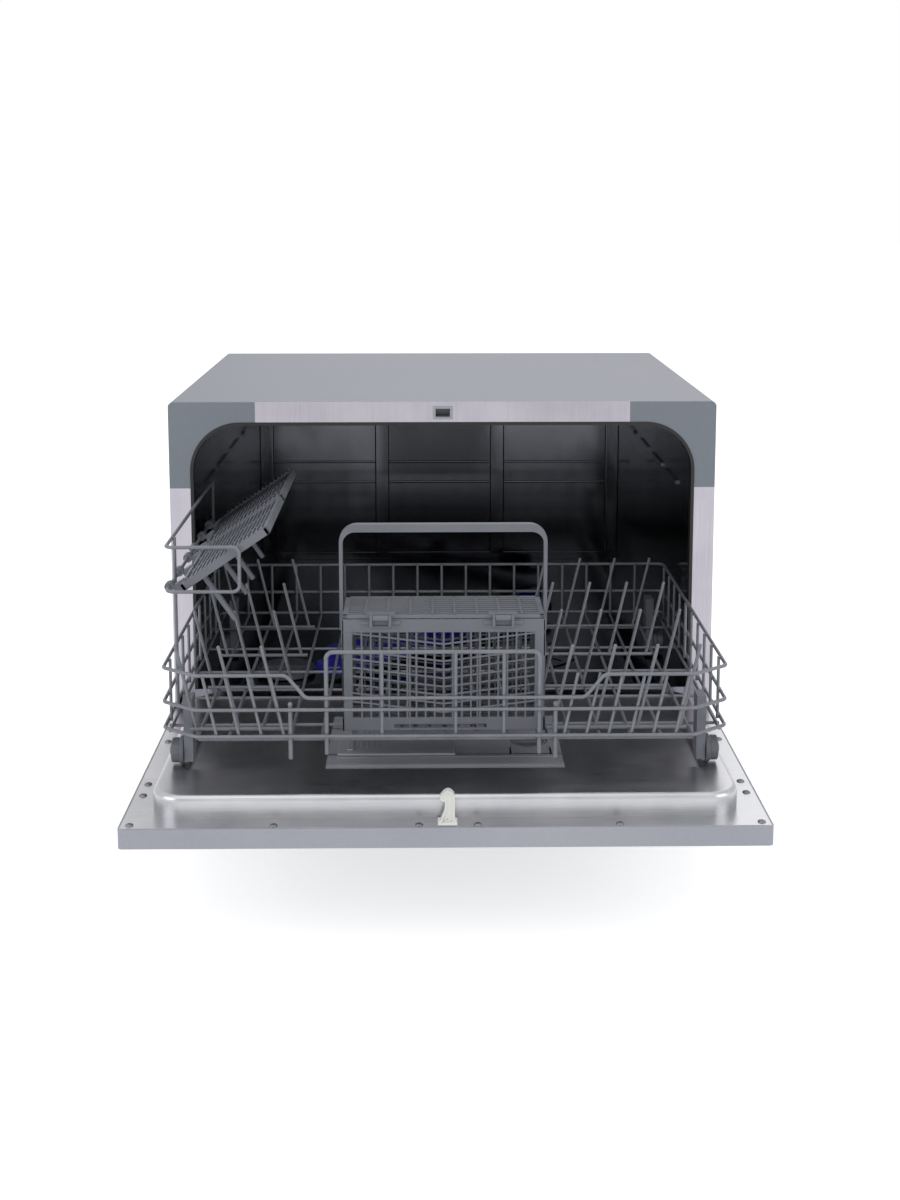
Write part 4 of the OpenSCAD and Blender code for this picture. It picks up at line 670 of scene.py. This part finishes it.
@dataclass
class Dispenser:
    """Detergent dispenser in the door, with its sliding lid and the cap of the rinse aid well."""

    plate_x: float = 106.0
    plate_y: tuple[float, float] = (-213.0, -87.0)
    top_z: float = 141.8
    seat_z: float = 135.85
    cup_x: tuple[float, float] = (-91.0, 3.0)
    cup_y: tuple[float, float] = (-188.0, -122.0)
    cup_z: float = 125.8
    well: tuple[float, float] = (78.0, -155.0)
    lid_x: tuple[float, float] = (-97.0, 9.0)
    lid_y: tuple[float, float] = (-194.0, -116.0)

    def body(self) -> None:
        """Builds the plate round the powder cup and the well."""
        shape = bmesh.new()
        (a, b), (c, d), (y0, y1) = self.cup_x, self.cup_y, self.plate_y
        wx, wy = self.well
        p, top = self.plate_x, self.top_z
        for low, high in (((-p, y0, self.seat_z), (p, c, top)), ((-p, d, self.seat_z), (p, y1, top)),
                          ((-p, c - 2, self.seat_z), (a, d + 2, top)),
                          ((b, c - 2, self.seat_z), (wx - 17.5, d + 2, top)),
                          ((wx + 17.4, c - 2, self.seat_z), (p, d + 2, top)),
                          ((wx - 19, c - 2, self.seat_z), (wx + 19, wy - 17.5, top)),
                          ((wx - 19, wy + 17.5, self.seat_z), (wx + 19, d + 2, top))):
            block(shape, low, high, 0.0)
        for low, high in (((a - 2, c - 2, self.cup_z - 1.5), (b + 2, d + 2, self.cup_z)),
                          ((a - 2, c - 2, self.cup_z - 1), (a, d + 2, top - 0.5)),
                          ((b, c - 2, self.cup_z - 1), (b + 2, d + 2, top - 0.5)),
                          ((a - 1, c - 2, self.cup_z - 1), (b + 1, c, top - 0.5)),
                          ((a - 1, d, self.cup_z - 1), (b + 1, d + 2, top - 0.5))):
            block(shape, low, high, 0.0)
        turned(shape, [(0, -9), (25, -9), (25, -0.3), (17.35, -0.05), (17.35, -8), (0, -8)], at(wx, wy, top),
               steps=40)
        for low, high in (((-p - 0.6, y0 - 0.6, self.seat_z), (p + 0.6, y0 + 3, top - 1.6)),
                          ((-p - 0.6, y1 - 3, self.seat_z), (p + 0.6, y1 + 0.6, top - 1.6)),
                          ((-p - 0.6, y0, self.seat_z), (-p + 3, y1, top - 1.6)),
                          ((p - 3, y0, self.seat_z), (p + 0.6, y1, top - 1.6))):
            block(shape, low, high, 0.8, 2)
        block(shape, (a - 7, c - 8, top - 0.3), (wx + 24, c - 6.6, top + 0.22), 0.2, 1)
        block(shape, (a - 7, d + 6.6, top - 0.3), (wx + 24, d + 8, top + 0.22), 0.2, 1)
        piece("dispenser_body", shape, SILVER_ABS, "cabinet", "dispenser", smooth_deg=30)

    def lid(self) -> None:
        """Builds the sliding lid with its thumb rib."""
        shape = bmesh.new()
        (a, b), (c, d) = self.lid_x, self.lid_y
        block(shape, (a, c, 142.1), (b, d, 144.5), 0.8, 3)
        block(shape, (a + 8, c + 8, 144.2), (a + 14, d - 8, 146.1), 0.8, 2)
        for i in range(4):
            block(shape, (a + 20 + i * 5, c + 16, 144.3), (a + 22 + i * 5, d - 16, 145.0), 0.3, 1)
        piece("dispenser_slide", shape, SILVER_ABS, "dispenser_lid", "dispenser_lid")

    def cap(self) -> None:
        """Builds the turning cap of the rinse aid well."""
        shape = bmesh.new()
        wx, wy = self.well
        turned(shape, [(0, -7.7), (16.4, -7.7), (17, -7), (17, -1), (16.2, -0.3), (13, -0.3), (12.4, -3.2),
                       (0, -3.2)], at(wx, wy, self.top_z), steps=40)
        block(shape, (wx - 12.6, wy - 2.4, self.top_z - 4), (wx + 12.6, wy + 2.4, self.top_z - 0.4), 0.8, 2)
        piece("rinse_aid_cap", shape, GREY_PP, "rinse_cap", "rinse_cap")

    def build(self) -> None:
        """Builds the three pieces."""
        self.body()
        self.lid()
        self.cap()


@dataclass
class Striker:
    """White hook on the door's flange that enters the latch."""

    x: float = 1.0
    y: tuple[float, float] = (-300.5, -285.5)
    foot_z: float = 121.05
    rim: float = 1.3
    pocket: float = 1.2
    outline: tuple[tuple[float, float], ...] = (
        (-7.2, 0.3), (-6.8, 2.8), (-5.4, 4.2), (-2.6, 11.1), (-2.0, 19.7), (-5.0, 20.7), (-6.5, 22.3),
                                                (-6.3, 24.2),
        (-3.4, 27.6), (-0.9, 29.2), (0.9, 29.5), (3.3, 28.4), (5.5, 25.9), (6.1, 23.6), (6.1, 5.6),
                                                (6.8, 2.8), (7.2, 0.3))

    def build(self) -> None:
        """Builds the hook from its outline, with a shallow pocket in its face, on a foot with its screw."""
        shape = bmesh.new()
        y0, y1 = self.y
        plate = bmesh.new()
        ring = [plate.verts.new(at(self.x + u, y1 - 4.5, self.foot_z + w)) for u, w in self.outline]
        back = plate.faces.new(ring)
        grown = bmesh.ops.extrude_face_region(plate, geom=[back])["geom"]
        moved = [g for g in grown if isinstance(g, bmesh.types.BMVert)]
        bmesh.ops.translate(plate, vec=(0, -7.0 * MM, 0), verts=moved)
        bmesh.ops.recalc_face_normals(plate, faces=plate.faces)
        front = [f for f in plate.faces if f.normal.y < -0.9]
        bmesh.ops.inset_region(plate, faces=front, thickness=self.rim * MM)
        bmesh.ops.inset_region(plate, faces=[f for f in plate.faces if f in front], thickness=0.3 * MM,
                               depth=-self.pocket * MM)
        join(shape, plate)
        block(shape, (self.x - 8.3, y0 + 0.2, self.foot_z), (self.x + 8.3, y1 - 0.2, self.foot_z + 1.9), 0.8,
              3)
        turned(shape, [(0.9, -1.4), (1.5, 0.5), (2.3, 0.5), (2.6, -1.4)],
               Vector(at(self.x - 0.4, y1 - 11.3, self.foot_z + 4.6)),
               Vector((0, -1, 0)), 24)
        piece("latch_hook", shape, WHITE_ABS, "cabinet", "striker")


@dataclass
class PanelScrews:
    """Pan head screws with a cross recess, round the flange of the door's inner panel."""

    flange_z: float = 121.0
    radius: float = 3.5
    height: float = 1.4
    row_y: float = -297.0
    row_x: tuple[float, ...] = (-145.0, -23.0, 26.5, 146.0)
    side_x: float = 266.0
    side_y: tuple[float, ...] = (-295.0, -231.0, -205.0, -97.5)

    def build(self) -> None:
        """Builds every screw, each turned a little further than the last."""
        spots = [(x, self.row_y) for x in self.row_x] + [(s * self.side_x, y) for s in (-1, 1)
                                                         for y in self.side_y]
        shape = bmesh.new()
        r, h = self.radius, self.height
        for i, (x, y) in enumerate(spots):
            place = at(x, y, self.flange_z)
            turned(shape, [(0, 0), (r, 0), (r, 0.35), (r * 0.9, 0.8), (r * 0.68, h - 0.12), (r * 0.5, h),
                           (r * 0.46, h - 0.7), (0, h - 0.7)],
                   place, steps=24)
            turn = Matrix.Translation(place) @ Matrix.Rotation(math.radians(17 + 53 * i), 4, "Z")
            for a in (-1, 1):
                for b in (-1, 1):
                    low = (min(a * 0.36, a * 1.5), min(b * 0.36, b * 1.5), h - 0.8)
                    high = (max(a * 0.36, a * 1.5), max(b * 0.36, b * 1.5), h)
                    quarter = bmesh.new()
                    block(quarter, low, high, 0.08, 1, frame_mm=False)
                    join(shape, quarter, turn)
        piece("panel_screws", shape, CASING_STEEL, "cabinet", "door_screws")


@dataclass
class RackWheels:
    """Four rack wheels, each with a guide disc, a tread and six lightening holes."""

    face_x: float = 232.0
    axle_z: float = 154.1
    rows: tuple[tuple[str, int, float], ...] = (("wheel_fl", -1, -207.0), ("wheel_fr", 1, -207.0),
                                                ("wheel_rl", -1, 118.0), ("wheel_rr", 1, 118.0))

    def build(self) -> None:
        """Builds every wheel."""
        ring = [(3.06, 0), (4.6, 0), (4.9, 0.5), (9.6, 0.5), (10.1, 0), (11.9, 0), (12.5, 0.6), (12.5, 3.4),
                (11.9, 4.0),
                (11, 4.2), (11, 10.6), (10.4, 11.2), (8.6, 11.2), (8.2, 10.2), (5.2, 10.2), (4.8, 11.2),
                (3.06, 11.2)]
        for body, side, y in self.rows:
            shape = bmesh.new()
            hub = at(side * self.face_x, y, self.axle_z)
            axis = Vector((side, 0, 0))
            turned(shape, ring, hub, axis, 48)
            face = Matrix.Translation(hub) @ axis.to_track_quat("Z", "Y").to_matrix().to_4x4()
            for i in range(6):
                spoke = bmesh.new()
                block(spoke, (4.6, -0.8, 10.0), (8.8, 0.8, 11.0), 0.3, 1, frame_mm=False)
                join(shape, spoke, face @ Matrix.Rotation(i * math.pi / 3, 4, "Z"))
            piece(body + "_turned", shape, ACETAL, body, body)


@dataclass
class CupShelf:
    """Two tilted shelves at the rack's left: side rails with teeth, fine cross ribs, knuckles and legs."""

    hinge: tuple[float, float] = (-246.0, 298.0)
    tilt_deg: float = 34.4
    length: float = 140.0
    u: tuple[float, float] = (12.0, 105.0)
    w: tuple[float, float] = (-9.5, -2.5)
    pitch: float = 5.0
    knuckle: float = 8.0
    leg_u: tuple[float, float] = (26.2, 30.2)
    leg_y: float = 22.0
    leg_w: float = 6.0
    leg_drop: float = 60.0

    def leaf(self, name: str, node: str, y0: float) -> None:
        """Builds one shelf.

        Args:
            name: Name of the piece.
            node: Solid that it stands for, and its body.
            y0: Near end of the shelf.
        """
        shape = bmesh.new()
        (u0, u1), (w0, w1), long = self.u, self.w, self.length
        part = bmesh.new()
        for y in (0.0, long / 3 - 1.5, 2 * long / 3 - 1.5, long - 3.0):
            block(part, (u0, y, w0), (u1, y + 3.0, w1 - (0 if y in (0.0, long - 3.0) else 1.0)), 0.6, 2,
                  frame_mm=False)
        for low, high in ((u0, u0 + 3.5), (u1 - 3.5, u1)):
            block(part, (low, 0, w0), (high, long, w1), 0.6, 2, frame_mm=False)
        steps = int((u1 - u0 - 8) / self.pitch)
        for i in range(1, steps + 1):
            u = u0 + 4 + i * self.pitch
            block(part, (u - 0.9, 1, w0 + 0.6), (u + 0.9, long - 1, w1 - 0.5), 0.3, 1, frame_mm=False)
            for y in (0.3, long - 2.7):
                block(part, (u - 1.0, y, w1 - 1), (u + 1.0, y + 2.4, w1 + 1.6), 0.4, 1, frame_mm=False)
        for y in (12.0, (long - self.knuckle) / 2, long - 12 - self.knuckle):
            block(part, (2.2, y + 0.4, w0 + 0.3), (u0 + 2, y + self.knuckle - 0.4, -1.2), 0.5, 1,
                  frame_mm=False)
            turned(part, [(1.65, 0), (4.2, 0), (4.4, 0.3), (4.4, 7.7), (4.2, 8), (1.65, 8)],
                   Vector((0, y, 0)) * MM, Vector((0, 1, 0)), 24)
        for y in (self.leg_y, long - self.leg_y - self.leg_w):
            block(part, (self.leg_u[0], y, -self.leg_drop), (self.leg_u[1], y + self.leg_w, w0 + 1), 0.7, 2,
                  frame_mm=False)
        x, z = self.hinge
        join(shape, part, Matrix.Translation(at(x, y0, z)) @ Matrix.Rotation(-math.radians(self.tilt_deg), 4,
                                                                             "Y"))
        piece(name, shape, SLATE_PP, node, node)

    def build(self) -> None:
        """Builds both shelves."""
        self.leaf("cup_shelf_near", "shelf_front", -200.0)
        self.leaf("cup_shelf_far", "shelf_rear", -54.0)


@dataclass
class TubBack:
    """Back of the tub with soft pressed ribs."""

    half_width: float = 257.2
    depth: float = 432.0
    z: tuple[float, float] = (118.8, 420.7)
    corner: float = 53.2
    rib_x: tuple[float, ...] = (-222.0, -74.0, 74.0, 222.0)
    rib_half: float = 9.0
    rib_z: tuple[float, float] = (180.0, 399.5)
    band_z: tuple[float, ...] = (273.6, 300.0)
    band_x: float = 244.0
    low_band: tuple[float, float, float] = (216.0, 171.0, 182.0)

    def build(self) -> None:
        """Builds the sheet and its ribs."""
        shape = bmesh.new()
        part = bmesh.new()
        low, high = at(-self.half_width, self.depth, self.z[0]), at(self.half_width, self.depth + 1.2,
                                                                    self.z[1])
        bmesh.ops.create_cube(part, size=1.0)
        bmesh.ops.scale(part, vec=high - low, verts=part.verts)
        bmesh.ops.translate(part, vec=(low + high) / 2, verts=part.verts)
        ends = [e for e in part.edges if all(v.co.z > high.z - TOUCH for v in e.verts)
                and abs(e.verts[0].co.y - e.verts[1].co.y) > APART]
        bevelled(part, ends, self.corner, 10)
        join(shape, part)
        foot, head = self.rib_z
        for x in self.rib_x:
            block(shape, (x - self.rib_half, self.depth - 3, foot), (x + self.rib_half, self.depth + 0.6,
                                                                     head), 2.6, 4)
        for z in self.band_z:
            block(shape, (-self.band_x, self.depth - 1.5, z - 1.5), (self.band_x, self.depth + 0.6, z + 1.5),
                  0.9, 2)
        half, foot, head = self.low_band
        block(shape, (-half, self.depth - 1.5, foot), (half, self.depth + 0.6, head), 1.3, 3)
        # The tub steel's dark colour is painted shade of the tub's inside
        piece("tub_back_sheet", shape, SHADED_TUB_STEEL, "cabinet", "tub_back", smooth_deg=35)


@dataclass
class WireTips:
    """Rounded beads of coating on the free ends of the tines and of the front posts."""

    rows: tuple[float, ...] = (-222.0, -108.0, -6.0, 96.0)
    left: tuple[float, ...] = (-219.0, -181.5, -144.0)
    right: tuple[float, ...] = (94.5, 132.0, 169.5, 207.0)
    lean: float = 17.0
    foot_z: float = 178.6
    height: float = 74.0

    def bead(self, shape: bmesh.types.BMesh, x: float, y: float, z: float, r: float) -> None:
        """Adds one bead."""
        part = bmesh.new()
        bmesh.ops.create_uvsphere(part, u_segments=12, v_segments=8, radius=r * MM)
        join(shape, part, Matrix.Translation(at(x, y, z)))

    def build(self) -> None:
        """Builds every bead."""
        shape = bmesh.new()
        for y in self.rows:
            for foot, side in [(x, -1) for x in self.left] + [(x, 1) for x in self.right]:
                self.bead(shape, foot + side * self.lean, y, self.foot_z + self.height, 1.62)
        for x in (-135.0, 95.6):
            self.bead(shape, x, -238.9, 206.4, 2.3)
            self.bead(shape, x, -238.9, 158.5, 2.2)
        piece("wire_beads", shape, COATED_WIRE, "rack", smooth_deg=60)


def white_rays(tree: bpy.types.NodeTree) -> bpy.types.NodeSocket:
    """Gives 1 on the rays that show the background as white: camera, glossy and transmission rays."""
    ray = add(tree, "ShaderNodeLightPath")
    pair = add(tree, "ShaderNodeMath", {"operation": "MAXIMUM"},
               {0: ray.outputs["Is Camera Ray"], 1: ray.outputs["Is Glossy Ray"]})
    every = add(tree, "ShaderNodeMath", {"operation": "MAXIMUM"},
                {0: pair.outputs[0], 1: ray.outputs["Is Transmission Ray"]})
    return every.outputs[0]


@dataclass
class Studio:
    """Pale floor, soft lamps and the camera that stands where the photograph's did."""

    focal_mm: float = 46.577
    eye: tuple[float, float, float] = (-0.01482, -1.62015, 0.65287)
    tilt_deg: float = 82.13
    turn_deg: float = -0.82
    shift: float = -0.1668
    floor_size: float = 30.0
    floor_lift: float = 0.62

    def camera(self) -> None:
        """Sets the camera up from the values fitted to the photograph."""
        data = bpy.data.cameras.new("camera")
        data.sensor_width = 36.0
        data.lens = self.focal_mm
        data.shift_y = self.shift
        holder = bpy.data.objects.new("camera", data)
        holder.location = self.eye
        holder.rotation_euler = (math.radians(self.tilt_deg), 0.0, math.radians(self.turn_deg))
        bpy.context.scene.collection.objects.link(holder)
        bpy.context.scene.camera = holder

    def floor(self) -> None:
        """Lays a pale floor that shows white to the camera and keeps the object's shadow."""
        mesh = bpy.data.meshes.new("studio_floor")
        shape = bmesh.new()
        bmesh.ops.create_grid(shape, x_segments=1, y_segments=1, size=self.floor_size / 2)
        shape.to_mesh(mesh)
        shape.free()
        ground = bpy.data.objects.new("studio_floor", mesh)
        bpy.context.scene.collection.objects.link(ground)
        material = fresh("matt_white_floor")
        tree = material.node_tree
        matt = add(tree, "ShaderNodeBsdfDiffuse", {"Color": linear("#F2F2F3")})
        glow = add(tree, "ShaderNodeEmission", {"Color": linear("#FFFFFF")})
        share = add(tree, "ShaderNodeMath", {"operation": "MULTIPLY", 1: self.floor_lift},
                    {0: white_rays(tree)})
        tree.links.new(share.outputs[0], glow.inputs["Strength"])
        both = add(tree, "ShaderNodeAddShader", None, {0: matt.outputs[0], 1: glow.outputs[0]})
        add(tree, "ShaderNodeOutputMaterial", None, {"Surface": both.outputs[0]})
        mesh.materials.append(material)

    def light(self) -> None:
        """Hangs the soft lamps and sets the world."""
        for name, place, size, power in (
            ("top_softbox", (-0.5, -0.9, 2.4), 2.2, 9.0),
            ("left_softbox", (-2.2, -1.6, 1.2), 1.6, 16.0),
            ("right_softbox", (2.2, -1.6, 1.3), 1.6, 16.0),
            ("rear_softbox", (0.3, 2.2, 2.0), 1.8, 12.0),
        ):
            data = bpy.data.lights.new(name, "AREA")
            data.shape = "SQUARE"
            data.size = size
            data.energy = power
            lamp = bpy.data.objects.new(name, data)
            lamp.location = place
            lamp.rotation_euler = (Vector((0.0, 0.0,
                                           0.2)) - Vector(place)).to_track_quat("-Z", "Y").to_euler()
            bpy.context.scene.collection.objects.link(lamp)
        world = bpy.data.worlds.new("studio")
        bpy.context.scene.world = world
        world.use_nodes = True
        tree = world.node_tree
        tree.nodes.clear()
        level = add(tree, "ShaderNodeMapRange", {"To Min": 0.55, "To Max": 1.0}, {"Value": white_rays(tree)})
        sky = add(tree, "ShaderNodeBackground", {"Color": linear("#FFFFFF")},
                  {"Strength": level.outputs["Result"]})
        add(tree, "ShaderNodeOutputWorld", None, {"Surface": sky.outputs[0]})
        bpy.context.scene.view_settings.view_transform = "Standard"

    def build(self) -> None:
        """Builds the whole studio."""
        self.camera()
        self.floor()
        self.light()


def main() -> None:
    """Dresses the solids, builds the pieces and reports each."""
    logging.basicConfig(level=logging.INFO, format="%(name)s: %(message)s")
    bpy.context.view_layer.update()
    Studio().build()
    for finish, nodes in NODE_FINISHES.items():
        material = material_of(finish)
        for node in nodes:
            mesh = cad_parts[node].data
            for i in range(len(mesh.materials)):
                mesh.materials[i] = material
            LOG.info("%s has %s", node, finish.name)
    corners_material = material_of(BRIGHT_STEEL).copy()
    corners_material.name = "bright_steel_with_grey_corners"
    grey_corners(corners_material, CORNER_X * MM, CORNER_Z * MM, CORNER_GREY)
    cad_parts["front_frame"].data.materials[0] = corners_material
    for part in (DoorPanel(), Basket(), BasketLid(), SprayArm(), Dispenser(), Striker(), PanelScrews(),
                 RackWheels(), CupShelf(), TubBack(), WireTips()):
        part.build()


if __name__ == "__main__":
    main()
